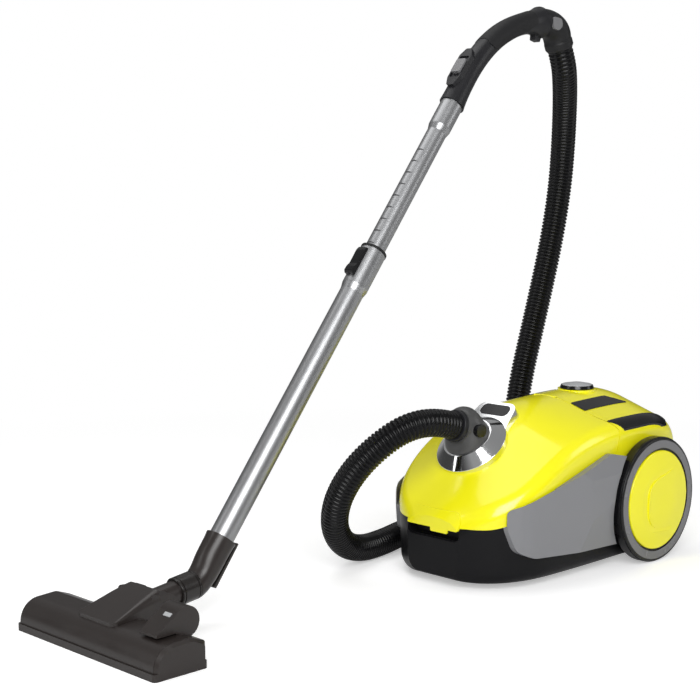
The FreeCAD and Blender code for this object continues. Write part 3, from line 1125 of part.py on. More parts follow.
def make_neck():
    """Bent elbow with its parking hook, and the swivel ring with the tilting knuckle."""
    reach = f"{RING_END} + running_gap"
    path = (("wand_foot_x + 6 * sin(wand_lean)", "wand_foot_height + 6 * cos(wand_lean)",
             "wand_lean", "head_elbow_dia / 2 + 1.2", "head_elbow_dia / 2 + 1.2"),
            ("wand_foot_x", "wand_foot_height", "wand_lean", "head_elbow_dia / 2 + 0.6",
             "head_elbow_dia / 2 + 0.6"),
            ("wand_foot_x - 24 * sin(wand_lean)", "wand_foot_height - 24 * cos(wand_lean)",
             "wand_lean + 3", "head_elbow_dia / 2", "head_elbow_dia / 2"),
            ("wand_foot_x - 27", "wand_foot_height - 35", "wand_lean + 23",
             "head_elbow_dia / 2 - 0.3", "head_elbow_dia / 2 - 0.3"),
            (f"tilt_x + ({reach}) * cos(neck_rise)", f"tilt_height + ({reach}) * sin(neck_rise)",
             "90 - neck_rise", "ring_dia / 2 - 0.4", "ring_dia / 2 - 0.4"))
    body = bent("neck elbow", "wand_y", path)
    socket = on_wand(rod("neck socket", "0", "0", "0", "lower_tube_dia / 2 + 0.1",
                         "wand_length", "Z"))
    socket_foot = on_wand(turned("neck socket foot", "Z", ("0", "0", "0"), [
        ("0", "-tube_socket - 12", "0"), ("lower_tube_dia / 2 - 3", "-tube_socket - 12", "0"),
        ("lower_tube_dia / 2 - 3", "-tube_socket", "0"),
        ("lower_tube_dia / 2 + 0.1", "-tube_socket", "0"), ("lower_tube_dia / 2 + 0.1", "1", "0"),
        ("0", "1", "0")]))
    blade = on_wand(prism("hook blade", "XZ", [
        ("head_elbow_dia / 2 + 3.6", "-52", "1.4"), ("head_elbow_dia / 2 + 7.6", "-52", "1.4"),
        ("head_elbow_dia / 2 + 6.6", "12", "1.4"), ("head_elbow_dia / 2 + 3.6", "12", "1.4")],
        "-6.5", "6.5",
        pads=[("XZ", box_outline("head_elbow_dia / 2 - 3", "head_elbow_dia / 2 + 4", "-38", "-14"),
               "-2.5", "2.5")]))
    keep(cut("neck_elbow", fuse("elbow with hook", body, blade), socket, socket_foot),
         "neck_elbow")

    ring = "ring_dia / 2"
    keep(on_neck(turned("swivel ring", "Z", ("0", "0", "0"), [
        ("8", "ring_start", "0"), (f"{ring} - 1", "ring_start", "0"),
        (ring, "ring_start + 1", "0.5"),
        (ring, "ring_start + 3", "0"), (f"{ring} - 1", "ring_start + 3.5", "0"),
        (f"{ring} - 1", "ring_start + 4.5", "0"), (ring, "ring_start + 5", "0"),
        (ring, f"{RING_END} - 4.5", "0"), (f"{ring} - 1", f"{RING_END} - 4", "0"),
        (f"{ring} - 1", f"{RING_END} - 3", "0"), (ring, f"{RING_END} - 2.5", "0"),
        (ring, RING_END, "0.8"), ("8", RING_END, "0")])), "swivel_ring")
    barrel = on_neck(rod("neck barrel", "0", "0", "0", "barrel_dia / 2", "ring_start", "Z"))
    knuckle = rod("neck knuckle", "tilt_x", "wand_y - knuckle_half", "tilt_height",
                  "knuckle_dia / 2", "knuckle_half * 2", "Y")
    pin_hole = rod("tilt pin hole", "tilt_x", "wand_y - knuckle_half * 2", "tilt_height",
                   "tilt_pin_dia / 2 + running_gap", "knuckle_half * 4", "Y")
    keep(cut("neck_barrel", fuse("neck", barrel, knuckle), pin_hole), "neck_barrel")


def head_profile(inset):
    """Side profile of the floor head's upper shell, drawn in by an inset."""
    return [("head_front_x + " + inset, "head_part_line", "0"),
            ("head_front_x + " + inset, f"head_height - 3 - {inset}", f"head_round - {inset}"),
            ("head_rear_x - 22", f"head_height - {inset}", "12"),
            ("head_rear_x - " + inset, f"head_rear_height - {inset}", "4"),
            ("head_rear_x - " + inset, "head_part_line", "0")]


def make_head():
    """Upper shell, base plate, end caps and the lifting brush strips."""
    form = prism("head form", "XZ", head_profile("0"), "head_right_y", "head_left_y")
    cavity = prism("head cavity", "XZ", head_profile("head_wall"), "head_right_y + head_wall",
                   "head_left_y - head_wall")
    drum = rod("rocker recess", "rocker_x", "rocker_right_y - rocker_gap", "rocker_height",
               "rocker_dia / 2 + rocker_gap", "rocker_left_y - rocker_right_y + rocker_gap * 2",
               "Y")
    bracket = prism("rocker bracket", "XZ", [
        ("rocker_x - 9", "head_height - 3", "0"), ("rocker_x + 9", "head_height - 6", "0"),
        ("rocker_x + 6", "rocker_height + 6", "5"), ("rocker_x - 6", "rocker_height + 6", "5")],
        "rocker_left_y + rocker_gap", "rocker_left_y + rocker_gap + 3.4")
    axle = rod("rocker axle", "rocker_x", "rocker_right_y + 8", "rocker_height",
               "rocker_axle_dia / 2", "rocker_left_y - rocker_right_y - 8 + rocker_gap + 3", "Y")
    shell_open = cut("head open", form, cavity, drum)
    keep(fuse("head_shell", shell_open, cut("bracket", bracket, form), axle), "head_shell")

    for name, near, far in (("right", "head_right_y", "head_right_y - end_cap"),
                            ("left", "head_left_y", "head_left_y + end_cap")):
        def sections(body):
            made = []
            for level, inset in ((near, "0.6"), (far, "3.6")):
                sketch = new_sketch(body, "XZ", ("0", "0", f"-({level})"))
                draw_outline(sketch, head_profile(inset))
                made.append(sketch)
            return made
        keep(loft("end cap", sections), f"head_cap_{name}")

    slots = [box_outline(f"brush_{row}_x - brush_gap", f"brush_{row}_x + brush_width + brush_gap",
                         "head_right_y + 9", "head_left_y - 9", "1") for row in ("front", "rear")]
    mouth = box_outline("mouth_front_x", "mouth_rear_x", "mouth_right_y", "mouth_left_y", "5")
    keep(prism("base_plate", "XY",
               box_outline("head_front_x - base_lip", "head_rear_x + 1", "head_right_y - end_cap",
                           "head_left_y + end_cap", "5"), "0", "head_part_line",
               cuts=[("XY", outline, "-1", "head_part_line + 1") for outline in slots + [mouth]]),
         "base_plate")
    strips = [("XY", box_outline(f"brush_{row}_x", f"brush_{row}_x + brush_width",
                                 "head_right_y + 10", "head_left_y - 10", "0.5"),
               "1.5", "brush_top") for row in ("front", "rear")]
    bars = [("XY", box_outline("brush_front_x + 2", "brush_rear_x + 3", f"{y} - 4", f"{y} + 4"),
             "brush_top - 3", "brush_top") for y in ("head_right_y + 30", "head_left_y - 30")]
    keep(prism("brush_strips", *strips[0], pads=[strips[1]] + bars), "brush_strips")
    return form


def make_head_cover(form):
    """Raised cover with the cheeks that carry the tilt pin."""
    def sections(body):
        made = []
        for along, top, narrow, radius in (
                ("cover_front_x", "cover_front_height", "0", "1.5"),
                ("cover_front_x + 14", "cover_front_height + 5", "0.5", "4"),
                ("cover_front_x + 40", "(cover_front_height + cover_rear_height) / 2 + 2",
                 "1.5", "8"),
                ("cover_roof_x", "cover_rear_height", "3", "13")):
            half = f"cover_half - {narrow}"
            sketch = new_sketch(body, "YZ", ("0", "0", along))
            draw_outline(sketch, [(f"wand_y - ({half})", "head_part_line + 14", "0.5"),
                                  (f"wand_y + {half}", "head_part_line + 14", "0.5"),
                                  (f"wand_y + {half}", top, radius),
                                  (f"wand_y - ({half})", top, radius)])
            made.append(sketch)
        return made
    hump = loft("cover form", sections)
    plan = prism("cover plan", "XY", [
        ("cover_front_x", "wand_y - cover_half", "9"),
        ("head_rear_x + 60", "wand_y - cover_half", "0"),
        ("head_rear_x + 60", "wand_y + cover_half", "0"),
        ("cover_front_x", "wand_y + cover_half", "9")],
        "0", "cover_rear_height * 2")
    hump = common("cover plan cut", hump, plan)
    cheeks = []
    for name, side in SIDES:
        low, high = span(side, "cheek_inner", "cheek_outer")
        low, high = f"wand_y + ({low})", f"wand_y + ({high})"
        cheeks.append(prism(f"cheek {name}", "XZ", [
            ("head_rear_x + 1", "head_part_line + 14", "0"),
            ("tilt_x + knuckle_dia / 2", "head_part_line + 14", "8"),
            ("tilt_x + knuckle_dia / 2", "tilt_height + knuckle_dia / 2", "15"),
            ("head_rear_x + 1", "tilt_height + knuckle_dia / 2 + 3", "4")], low, high))
    whole = fuse("cover with cheeks", hump, *cheeks)
    room = rod("knuckle room", "tilt_x", "wand_y - cheek_inner", "tilt_height",
               "knuckle_dia / 2 + 0.7", "cheek_inner * 2", "Y")
    below = prism("cover underside", "XZ", [
        ("cover_front_x + 8", "0", "0"), ("tilt_x", "0", "0"), ("tilt_x", "tilt_height", "0"),
        ("cover_roof_x - 6", "cover_rear_height - cover_wall - 4", "2"),
        ("cover_front_x + 30", "head_height + 2", "3")],
        "wand_y - cheek_inner", "wand_y + cheek_inner")
    pin = rod("tilt pin", "tilt_x", "wand_y - cheek_outer", "tilt_height", "tilt_pin_dia / 2",
              "cheek_outer * 2", "Y")
    keep(fuse("head_cover", cut("cover hollowed", whole, room, below, form), pin), "head_cover")


def make_rocker():
    """Foot rocker that drops the brush strips: a wedge on a drum."""
    low, high = "rocker_right_y", "rocker_left_y"
    radius = "rocker_dia / 2"
    wedge = prism("rocker wedge", "XZ", [
        ("rocker_tip_x", "rocker_tip_height", "1"), ("rocker_x - 4", "rocker_height - 10", "0"),
        ("rocker_x + 6", f"rocker_height + {radius} - 3", "0"),
        ("rocker_x - 6", f"rocker_height + {radius} - 0.6", "9"),
        ("rocker_tip_x + 1", "rocker_tip_height + 4", "1.5")], low, high)
    drum = rod("rocker drum", "rocker_x", low, "rocker_height", radius,
               "rocker_left_y - rocker_right_y", "Y")
    bore = rod("rocker bore", "rocker_x", "rocker_right_y + 7", "rocker_height",
               "rocker_axle_dia / 2 + running_gap", "rocker_left_y - rocker_right_y", "Y")
    keep(cut("foot_rocker", fuse("rocker", wedge, drum), bore), "foot_rocker")


# ---------------------------------------------------------------- hose
HOSE_ROUTE = ((-285.97, 0, 218.0), (-322.06, 0, 228.35), (-365, 16, 223), (-399, 40, 195),
              (-419, 66, 159),
              (-422, 92, 117), (-403, 117, 73), (-362, 139, 37), (-311, 154, 19.5),
              (-257, 161, 19.5), (-204, 178, 19.5), (-150, 190, 19.5), (-95, 193, 19.5),
              (-42, 199, 19.5), (10, 197, 27), (50, 193, 60), (74, 190, 110), (82, 187, 168),
              (93, 184, 234), (114, 181, 306), (135, 176, 386), (151, 169, 466),
              (154, 158, 545), (141, 143, 612), (116, 122, 672), (86, 100, 709),
              (62.02, 85, 734.42), (52.03, 85, 755.36))
ARC_SHARE = 0.45


def make_hose():
    """Hose: straight runs joined by the largest tangent arcs that the runs allow."""
    points = [Vector(*point) for point in HOSE_ROUTE]
    edges = []
    here = points[0]
    length = 0.0
    radii = []
    for before, corner, after in zip(points, points[1:], points[2:]):
        back = before - corner
        ahead = after - corner
        turn = math.pi - back.getAngle(ahead)
        reach = ARC_SHARE * min(back.Length, ahead.Length)
        radius = reach / math.tan(turn / 2)
        radii.append(round(radius))
        entry = corner + back.normalize() * reach
        leave = corner + ahead.normalize() * reach
        middle = (entry + leave) * 0.5
        apex = corner + (middle - corner).normalize() * (radius / math.cos(turn / 2) - radius)
        edges.append(Part.LineSegment(here, entry).toShape())
        edges.append(Part.Arc(entry, apex, leave).toShape())
        length += (entry - here).Length + radius * turn
        here = leave
    edges.append(Part.LineSegment(here, points[-1]).toShape())
    length += (points[-1] - here).Length
    radius = size("hose_dia / 2")
    section = Part.Wire(Part.Circle(points[0], points[1] - points[0], radius).toShape())
    tube = Part.Wire(edges).makePipeShell([section], True, True)
    hose = doc.addObject("Part::Feature", "Hose")
    hose.Shape = tube
    hose.Placement = Placement()
    keep(hose, "hose")
    print("hose radii", radii)
    print("hose length", round(length), "volume ratio",
          round(tube.Volume / (math.pi * radius ** 2 * length), 4))


make_tub()
make_upper()
make_pedals_and_trim()
make_side_panels()
make_wheels()
make_caster()
make_latch()
make_inlet()
make_connector()
make_bag_chamber()
make_motor_chamber()
make_exhaust_door()
make_knob()
make_wand()
make_handle()
make_neck()
make_head_cover(make_head())
make_rocker()
doc.recompute()
make_hose()
doc.recompute()


# ---------------------------------------------------------------- checks and export
def faults():
    """Everything that failed, by name; nothing is written while this is not empty."""
    found = []
    for item in doc.Objects:
        if {"Invalid", "Error"} & set(item.State):
            found.append(f"{item.Name} ({item.Label}): {item.State}")
    for pocket in pockets:
        if pocket.Shape.Volume >= pocket.BaseFeature.Shape.Volume - 1e-6:
            found.append(f"{pocket.Name} in {pocket.getParentGeoFeatureGroup().Label} cuts nothing")
    for node in nodes:
        if node.Shape.isNull() or not node.Shape.isValid() or not node.Shape.Solids:
            found.append(f"{node.Label}: no valid solid")
    return found


problems = faults()
if problems:
    raise SystemExit("\n".join(problems))
os.makedirs("parts", exist_ok=True)
for node in nodes:
    node.Shape.exportStep(f"parts/{node.Label}.step")
    print(node.Label, len(node.Shape.Solids), round(node.Shape.Volume / 1000, 1), "cm3")
print(len(nodes), "nodes")
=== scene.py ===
"""Studio scene of a canister vacuum cleaner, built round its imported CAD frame."""
import math

import bmesh
import bpy
from mathutils import Matrix, Vector


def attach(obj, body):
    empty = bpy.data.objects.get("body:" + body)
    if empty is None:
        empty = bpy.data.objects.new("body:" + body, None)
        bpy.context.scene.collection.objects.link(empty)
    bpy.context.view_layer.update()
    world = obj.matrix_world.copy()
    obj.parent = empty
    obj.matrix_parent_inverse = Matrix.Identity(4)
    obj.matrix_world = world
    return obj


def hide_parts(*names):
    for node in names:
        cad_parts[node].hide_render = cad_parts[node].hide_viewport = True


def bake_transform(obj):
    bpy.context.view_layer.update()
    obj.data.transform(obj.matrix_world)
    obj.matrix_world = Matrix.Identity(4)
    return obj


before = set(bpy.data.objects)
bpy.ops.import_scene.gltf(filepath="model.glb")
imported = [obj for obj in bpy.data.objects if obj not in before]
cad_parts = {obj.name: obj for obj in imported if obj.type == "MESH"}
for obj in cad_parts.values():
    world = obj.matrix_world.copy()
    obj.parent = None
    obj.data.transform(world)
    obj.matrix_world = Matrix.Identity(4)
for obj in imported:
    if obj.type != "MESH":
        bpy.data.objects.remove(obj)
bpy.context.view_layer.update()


def add_object(name, data):
    """A new object linked into the scene."""
    piece = bpy.data.objects.new(name, data)
    bpy.context.collection.objects.link(piece)
    return piece


# ---------------------------------------------------------------- camera
CAMERA_PLACE = (-1.8330, -1.3606, 0.5683)
DEGREES_DOWN = 6.8
DEGREES_ROUND = -44.7
SENSOR_WIDTH = 36
FOCAL_LENGTH = 77.3
FAR_CLIP = 50

camera = add_object("camera", bpy.data.cameras.new("camera"))
camera.location = CAMERA_PLACE
camera.rotation_euler = (math.radians(90 - DEGREES_DOWN), 0, math.radians(DEGREES_ROUND))
camera.data.sensor_width = SENSOR_WIDTH
camera.data.lens = FOCAL_LENGTH
camera.data.clip_end = FAR_CLIP
bpy.context.scene.camera = camera
bpy.context.scene.view_settings.view_transform = "Standard"


# ---------------------------------------------------------------- mesh helpers
ROUTE_PIECES = 24


def mesh_object(name, verts, faces, smooth=True):
    mesh = bpy.data.meshes.new(name)
    mesh.from_pydata([tuple(v) for v in verts], [], faces)
    mesh.validate()
    mesh.update()
    for polygon in mesh.polygons:
        polygon.use_smooth = smooth
    return add_object(name, mesh)


def route_line(points):
    """Points read from the NURBS spline that has the route's points as control points."""
    curve = bpy.data.curves.new("route", "CURVE")
    curve.dimensions = "3D"
    spline = curve.splines.new("NURBS")
    spline.points.add(len(points) - 1)
    for control, point in zip(spline.points, points):
        control.co = (*point, 1)
    spline.order_u = 3
    spline.use_endpoint_u = True
    curve.resolution_u = ROUTE_PIECES
    holder = add_object("route", curve)
    line = bpy.data.meshes.new_from_object(holder)
    path = [vertex.co.copy() for vertex in line.vertices]
    bpy.data.objects.remove(holder)
    bpy.data.meshes.remove(line)
    return path


def even_steps(path, step):
    """Points along the path at one even distance, as near to the step as fits its length."""
    distances = [0.0]
    for a, b in zip(path, path[1:]):
        distances.append(distances[-1] + (b - a).length)
    length = distances[-1]
    count = round(length / step)
    spaced = []
    index = 0
    for i in range(count + 1):
        goal = length * i / count
        while index < len(path) - 2 and distances[index + 1] < goal:
            index += 1
        run = distances[index + 1] - distances[index]
        share = (goal - distances[index]) / run if run else 0
        spaced.append(path[index].lerp(path[index + 1], min(1, share)))
    return spaced


def tube_along(name, line, radius_at, sides):
    """A closed tube whose radius changes along its line, kept from twisting."""
    verts, faces = [], []
    normal = None
    last = len(line) - 1
    for i, point in enumerate(line):
        ahead = line[min(i + 1, last)] - line[max(i - 1, 0)]
        ahead.normalize()
        if normal is None:
            normal = ahead.orthogonal().normalized()
        else:
            normal = (normal - ahead * normal.dot(ahead)).normalized()
        side = ahead.cross(normal)
        radius = radius_at(i)
        for k in range(sides):
            turn = 2 * math.pi * k / sides
            verts.append(point + (normal * math.cos(turn) + side * math.sin(turn)) * radius)
    for i in range(last):
        for k in range(sides):
            a, b = i * sides + k, i * sides + (k + 1) % sides
            faces.append((a, b, b + sides, a + sides))
    faces.append(tuple(range(sides))[::-1])
    faces.append(tuple(last * sides + k for k in range(sides)))
    return mesh_object(name, verts, faces)


def slab(name, size, centre, lean, edge):
    """A small plate with softened edges, leant about Y."""
    mesh = bmesh.new()
    bmesh.ops.create_cube(mesh, size=1.0)
    bmesh.ops.scale(mesh, vec=size, verts=mesh.verts)
    bmesh.ops.bevel(mesh, geom=mesh.edges[:], offset=edge, segments=2, affect="EDGES")
    data = bpy.data.meshes.new(name)
    mesh.to_mesh(data)
    mesh.free()
    data.transform(Matrix.Translation(centre) @ Matrix.Rotation(lean, 4, "Y"))
    return add_object(name, data)


def dress(piece, material, body):
    piece.data.materials.append(material)
    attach(piece, body)


# ---------------------------------------------------------------- material helpers
# Most of a noise texture lies between these two values.
NOISE_LOW, NOISE_HIGH = 0.3, 0.7

PLASTIC_SHADE_SCALE = 14
PLASTIC_GLOSS_SCALE = 30
GLOSS_DETAIL = 4
GRAIN_DETAIL = 2
GRAIN_DEPTH = 0.0002
COAT_ROUGHNESS = 0.05

METAL_SHADE_SCALE = 25
METAL_GLOSS_SCALE = 60
METAL_DARK_SHARE = 0.94


def new_material(name):
    material = bpy.data.materials.new(name)
    material.use_nodes = True
    tree = material.node_tree
    shader = next(node for node in tree.nodes if node.type == "BSDF_PRINCIPLED")
    return material, tree, shader


def math_node(tree, operation, a, b=None):
    node = tree.nodes.new("ShaderNodeMath")
    node.operation = operation
    for socket, value in zip(node.inputs, (a, b)):
        if value is None:
            continue
        if isinstance(value, (int, float)):
            socket.default_value = value
        else:
            tree.links.new(value, socket)
    return node.outputs[0]


def object_coordinates(tree, origin=(0, 0, 0)):
    """Object coordinates measured from an origin."""
    source = tree.nodes.new("ShaderNodeTexCoord")
    mapping = tree.nodes.new("ShaderNodeMapping")
    mapping.vector_type = "TEXTURE"
    mapping.inputs["Location"].default_value = origin
    tree.links.new(source.outputs["Object"], mapping.inputs["Vector"])
    return mapping.outputs["Vector"]


def split(tree, vector):
    parts = tree.nodes.new("ShaderNodeSeparateXYZ")
    tree.links.new(vector, parts.inputs["Vector"])
    return parts.outputs


def hypotenuse(tree, a, b):
    squares = math_node(tree, "ADD", math_node(tree, "MULTIPLY", a, a),
                        math_node(tree, "MULTIPLY", b, b))
    return math_node(tree, "SQRT", squares)


def noise(tree, scale, detail=3.0):
    node = tree.nodes.new("ShaderNodeTexNoise")
    node.inputs["Scale"].default_value = scale
    node.inputs["Detail"].default_value = detail
    tree.links.new(object_coordinates(tree), node.inputs["Vector"])
    return node.outputs["Fac"]


def remap(tree, value, low, high, start=NOISE_LOW, end=NOISE_HIGH):
    """The value's range from start to end becomes the range from low to high."""
    node = tree.nodes.new("ShaderNodeMapRange")
    node.inputs["From Min"].default_value = start
    node.inputs["From Max"].default_value = end
    node.inputs["To Min"].default_value = low
    node.inputs["To Max"].default_value = high
    tree.links.new(value, node.inputs["Value"])
    return node.outputs["Result"]


def mix_colours(tree, share, a, b):
    node = tree.nodes.new("ShaderNodeMix")
    node.data_type = "RGBA"
    node.inputs["A"].default_value = (*a, 1)
    node.inputs["B"].default_value = (*b, 1)
    tree.links.new(share, node.inputs["Factor"])
    return node.outputs["Result"]


def bump(tree, shader, height, strength):
    node = tree.nodes.new("ShaderNodeBump")
    node.inputs["Strength"].default_value = strength
    node.inputs["Distance"].default_value = GRAIN_DEPTH
    tree.links.new(height, node.inputs["Height"])
    tree.links.new(node.outputs["Normal"], shader.inputs["Normal"])


def plastic(name, colour, rough, grain=900.0, relief=0.15, coat=0.0, vary=0.06, spread=0.05,
            gleam=0.5):
    """Moulded plastic: a little variation of shade and gloss over a fine grain."""
    material, tree, shader = new_material(name)
    shader.inputs["Specular IOR Level"].default_value = gleam
    dark = tuple(c * (1 - vary) for c in colour)
    light = tuple(min(1, c * (1 + vary)) for c in colour)
    tree.links.new(mix_colours(tree, noise(tree, PLASTIC_SHADE_SCALE), dark, light),
                   shader.inputs["Base Color"])
    gloss = noise(tree, PLASTIC_GLOSS_SCALE, GLOSS_DETAIL)
    tree.links.new(remap(tree, gloss, rough - spread, rough + spread),
                   shader.inputs["Roughness"])
    bump(tree, shader, noise(tree, grain, GRAIN_DETAIL), relief)
    if coat:
        shader.inputs["Coat Weight"].default_value = coat
        shader.inputs["Coat Roughness"].default_value = COAT_ROUGHNESS
    return material


def metal(name, colour, rough, spread=0.02):
    """Metal with a slow drift of shade and polish."""
    material, tree, shader = new_material(name)
    shader.inputs["Metallic"].default_value = 1
    dark = tuple(c * METAL_DARK_SHARE for c in colour)
    tree.links.new(mix_colours(tree, noise(tree, METAL_SHADE_SCALE), dark, colour),
                   shader.inputs["Base Color"])
    gloss = noise(tree, METAL_GLOSS_SCALE)
    tree.links.new(remap(tree, gloss, rough - spread, rough + spread),
                   shader.inputs["Roughness"])
    return material


# ---------------------------------------------------------------- materials
yellow = plastic("yellow_gloss", (0.930, 0.870, 0.008), 0.20, grain=350, relief=0.02, coat=0.3,
                 vary=0.02)
charcoal = plastic("charcoal_grain", (0.005, 0.005, 0.006), 0.38, grain=1400, relief=0.2,
                   gleam=0.18)
panel_grey = plastic("panel_satin", (0.215, 0.217, 0.228), 0.30, grain=1800, relief=0.03,
                     vary=0.02, spread=0.01)
black = plastic("black_gloss", (0.004, 0.004, 0.005), 0.18, grain=500, relief=0.03, gleam=0.4)
hose_black = plastic("hose_black", (0.003, 0.003, 0.0035), 0.26, grain=900, relief=0.05,
                     gleam=0.22)
handle_grey = plastic("handle_satin", (0.014, 0.014, 0.016), 0.38, grain=1600, relief=0.12,
                      gleam=0.3)
elbow_grey = plastic("elbow_satin", (0.060, 0.060, 0.060), 0.40, grain=1600, relief=0.12)
matte_black = plastic("matte_black", (0.010, 0.010, 0.011), 0.50, grain=1500, relief=0.15,
                      gleam=0.3)
soft_grip = plastic("soft_grip", (0.011, 0.011, 0.012), 0.58, grain=2200, relief=0.3, gleam=0.3)
head_grey = plastic("head_satin", (0.022, 0.0175, 0.016), 0.33, grain=1500, relief=0.08,
                    gleam=0.45)
ring_grey = plastic("ring_gloss", (0.016, 0.014, 0.013), 0.22, grain=900, relief=0.02, gleam=0.5)
mid_grey = plastic("mid_grey", (0.165, 0.165, 0.170), 0.35, grain=1500, relief=0.1)
light_grey = plastic("light_grey", (0.42, 0.43, 0.44), 0.35, grain=1500, relief=0.2)
white_plastic = plastic("inner_white", (0.72, 0.72, 0.70), 0.45, grain=1200, relief=0.2)
rubber = plastic("rubber", (0.016, 0.016, 0.016), 0.7, grain=1200, relief=0.5)
board = plastic("circuit_board", (0.010, 0.110, 0.040), 0.4, grain=900, relief=0.2)
foam = plastic("filter_foam", (0.06, 0.06, 0.065), 0.95, grain=900, relief=1.0, vary=0.4)
paper = plastic("bag_fleece", (0.74, 0.71, 0.65), 0.9, grain=700, relief=0.7, vary=0.08)
bristle = plastic("bristle", (0.018, 0.018, 0.018), 0.8, grain=900, relief=1.0, vary=0.5)
window = plastic("window_black", (0.005, 0.005, 0.006), 0.15, grain=300, relief=0.01, gleam=0.3)
# Painted shade: the dark lenses that stand for the shade inside the pressed notches of the upper
# tube.
notch_shade = plastic("notch_shade", (0.055, 0.055, 0.058), 0.5, vary=0.02)
chrome = metal("chrome", (0.88, 0.89, 0.90), 0.09)
tube_metal = metal("satin_tube", (0.42, 0.425, 0.435), 0.38)
steel = metal("steel", (0.55, 0.55, 0.57), 0.3, spread=0.05)

AXLE_HEIGHT = 0.092
RIM_RADII = (0.0757, 0.0872)
RIM_FACE = 0.1449
RIM_GREY = (0.175, 0.175, 0.182)
TYRE_BLACK = (0.006, 0.006, 0.007)
TYRE_ROUGHNESS = (0.20, 0.30)
TYRE_GLOSS_SCALE = 40
TYRE_GRAIN = 900
TYRE_RELIEF = 0.05
TYRE_GLEAM = 0.35


def ringed_tyre():
    """Glossy black wheel whose outer faces have a grey rim, a ring round the axle."""
    material, tree, shader = new_material("wheel_rim")
    shader.inputs["Specular IOR Level"].default_value = TYRE_GLEAM
    x, y, z = split(tree, object_coordinates(tree, origin=(0, 0, AXLE_HEIGHT)))
    radius = hypotenuse(tree, x, z)
    ring = math_node(tree, "MULTIPLY", math_node(tree, "GREATER_THAN", radius, RIM_RADII[0]),
                     math_node(tree, "LESS_THAN", radius, RIM_RADII[1]))
    outer = math_node(tree, "GREATER_THAN", math_node(tree, "ABSOLUTE", y), RIM_FACE)
    mask = math_node(tree, "MULTIPLY", ring, outer)
    tree.links.new(mix_colours(tree, mask, TYRE_BLACK, RIM_GREY), shader.inputs["Base Color"])
    gloss = noise(tree, TYRE_GLOSS_SCALE, GLOSS_DETAIL)
    tree.links.new(remap(tree, gloss, *TYRE_ROUGHNESS), shader.inputs["Roughness"])
    bump(tree, shader, noise(tree, TYRE_GRAIN, GRAIN_DETAIL), TYRE_RELIEF)
    return material


tyre = ringed_tyre()

NODE_MATERIALS = {
    "tub": charcoal, "rear_shell": yellow, "lid_shell": yellow, "hinge_pin": steel,
    "rewind_pedal": yellow, "power_pedal": yellow, "deck_trim_left": black,
    "deck_trim_right": black, "side_panel_left": panel_grey, "side_panel_right": panel_grey,
    "wheel_left_tyre": tyre, "wheel_right_tyre": tyre, "wheel_left_cap": yellow,
    "wheel_right_cap": yellow, "axle_pins": steel, "caster_fork": matte_black,
    "caster_cup": charcoal, "caster_wheel": rubber, "latch_flap": yellow, "latch_pocket": charcoal,
    "inlet_collar": chrome, "fill_window": window, "hose_elbow": elbow_grey,
    "release_button": black, "hose_collar_front": handle_grey, "bulkhead": white_plastic,
    "motor_filter": foam, "bag_holder": white_plastic, "dust_bag": paper, "lid_seal": rubber,
    "motor_unit": steel, "motor_cradle": white_plastic, "cable_reel": matte_black,
    "control_board": board, "cable_outlet": rubber, "exhaust_door": yellow,
    "exhaust_filter": white_plastic, "suction_knob": black, "knob_cap": light_grey,
    "wand_lower_tube": tube_metal, "sleeve_ring": matte_black, "wand_upper_tube": tube_metal,
    "sleeve_latch": black, "handle_shell": handle_grey, "grip_inlay": soft_grip,
    "regulator_slide": mid_grey, "swivel_housing": matte_black,
    "housing_insert": mid_grey, "hose_cuff_rear": matte_black, "neck_elbow": head_grey,
    "swivel_ring": ring_grey, "neck_barrel": head_grey, "head_shell": head_grey,
    "head_cap_right": head_grey, "head_cap_left": head_grey, "base_plate": head_grey,
    "brush_strips": bristle, "head_cover": head_grey, "foot_rocker": head_grey,
    "hose": hose_black,
}
for node_name, material in NODE_MATERIALS.items():
    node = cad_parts[node_name]
    node.data.materials.clear()
    node.data.materials.append(material)


# ---------------------------------------------------------------- hose
# The route has the points of the CAD hose, in metres.
HOSE_ROUTE = (
    (-0.28597, 0, 0.218), (-0.32206, 0, 0.22835), (-0.365, 0.016, 0.223),
    (-0.399, 0.040, 0.195), (-0.419, 0.066, 0.159), (-0.422, 0.092, 0.117),
    (-0.403, 0.117, 0.073), (-0.362, 0.139, 0.037), (-0.311, 0.154, 0.0195),
    (-0.257, 0.161, 0.0195), (-0.204, 0.178, 0.0195), (-0.150, 0.190, 0.0195),
    (-0.095, 0.193, 0.0195), (-0.042, 0.199, 0.0195), (0.010, 0.197, 0.027),
    (0.050, 0.193, 0.060), (0.074, 0.190, 0.110), (0.082, 0.187, 0.168),
    (0.093, 0.184, 0.234), (0.114, 0.181, 0.306), (0.135, 0.176, 0.386),
    (0.151, 0.169, 0.466), (0.154, 0.158, 0.545), (0.141, 0.143, 0.612),
    (0.116, 0.122, 0.672), (0.086, 0.100, 0.709), (0.06202, 0.085, 0.73442),
    (0.05203, 0.085, 0.75536))
HOSE_DIAMETER = 0.039
HOSE_SIDES = 48
RIDGE_PITCH = 0.0057
RIDGE_DEPTH = 0.0026
STEPS_PER_RIDGE = 8
# Below 1 this makes the ridges' tops flatter than a sine's.
RIDGE_POWER = 0.6

hose_path = route_line(HOSE_ROUTE)
hose_line = even_steps(hose_path, RIDGE_PITCH / STEPS_PER_RIDGE)


def ridge_radius(i):
    """Rounded ridges with narrow grooves between them."""
    phase = (i % STEPS_PER_RIDGE) / STEPS_PER_RIDGE
    crest = math.sin(math.pi * phase) ** RIDGE_POWER
    return HOSE_DIAMETER / 2 - RIDGE_DEPTH * (1 - crest)


hose = tube_along("hose_tube", hose_line, ridge_radius, HOSE_SIDES)
hose.data.materials.append(hose_black)
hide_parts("hose")
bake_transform(hose)


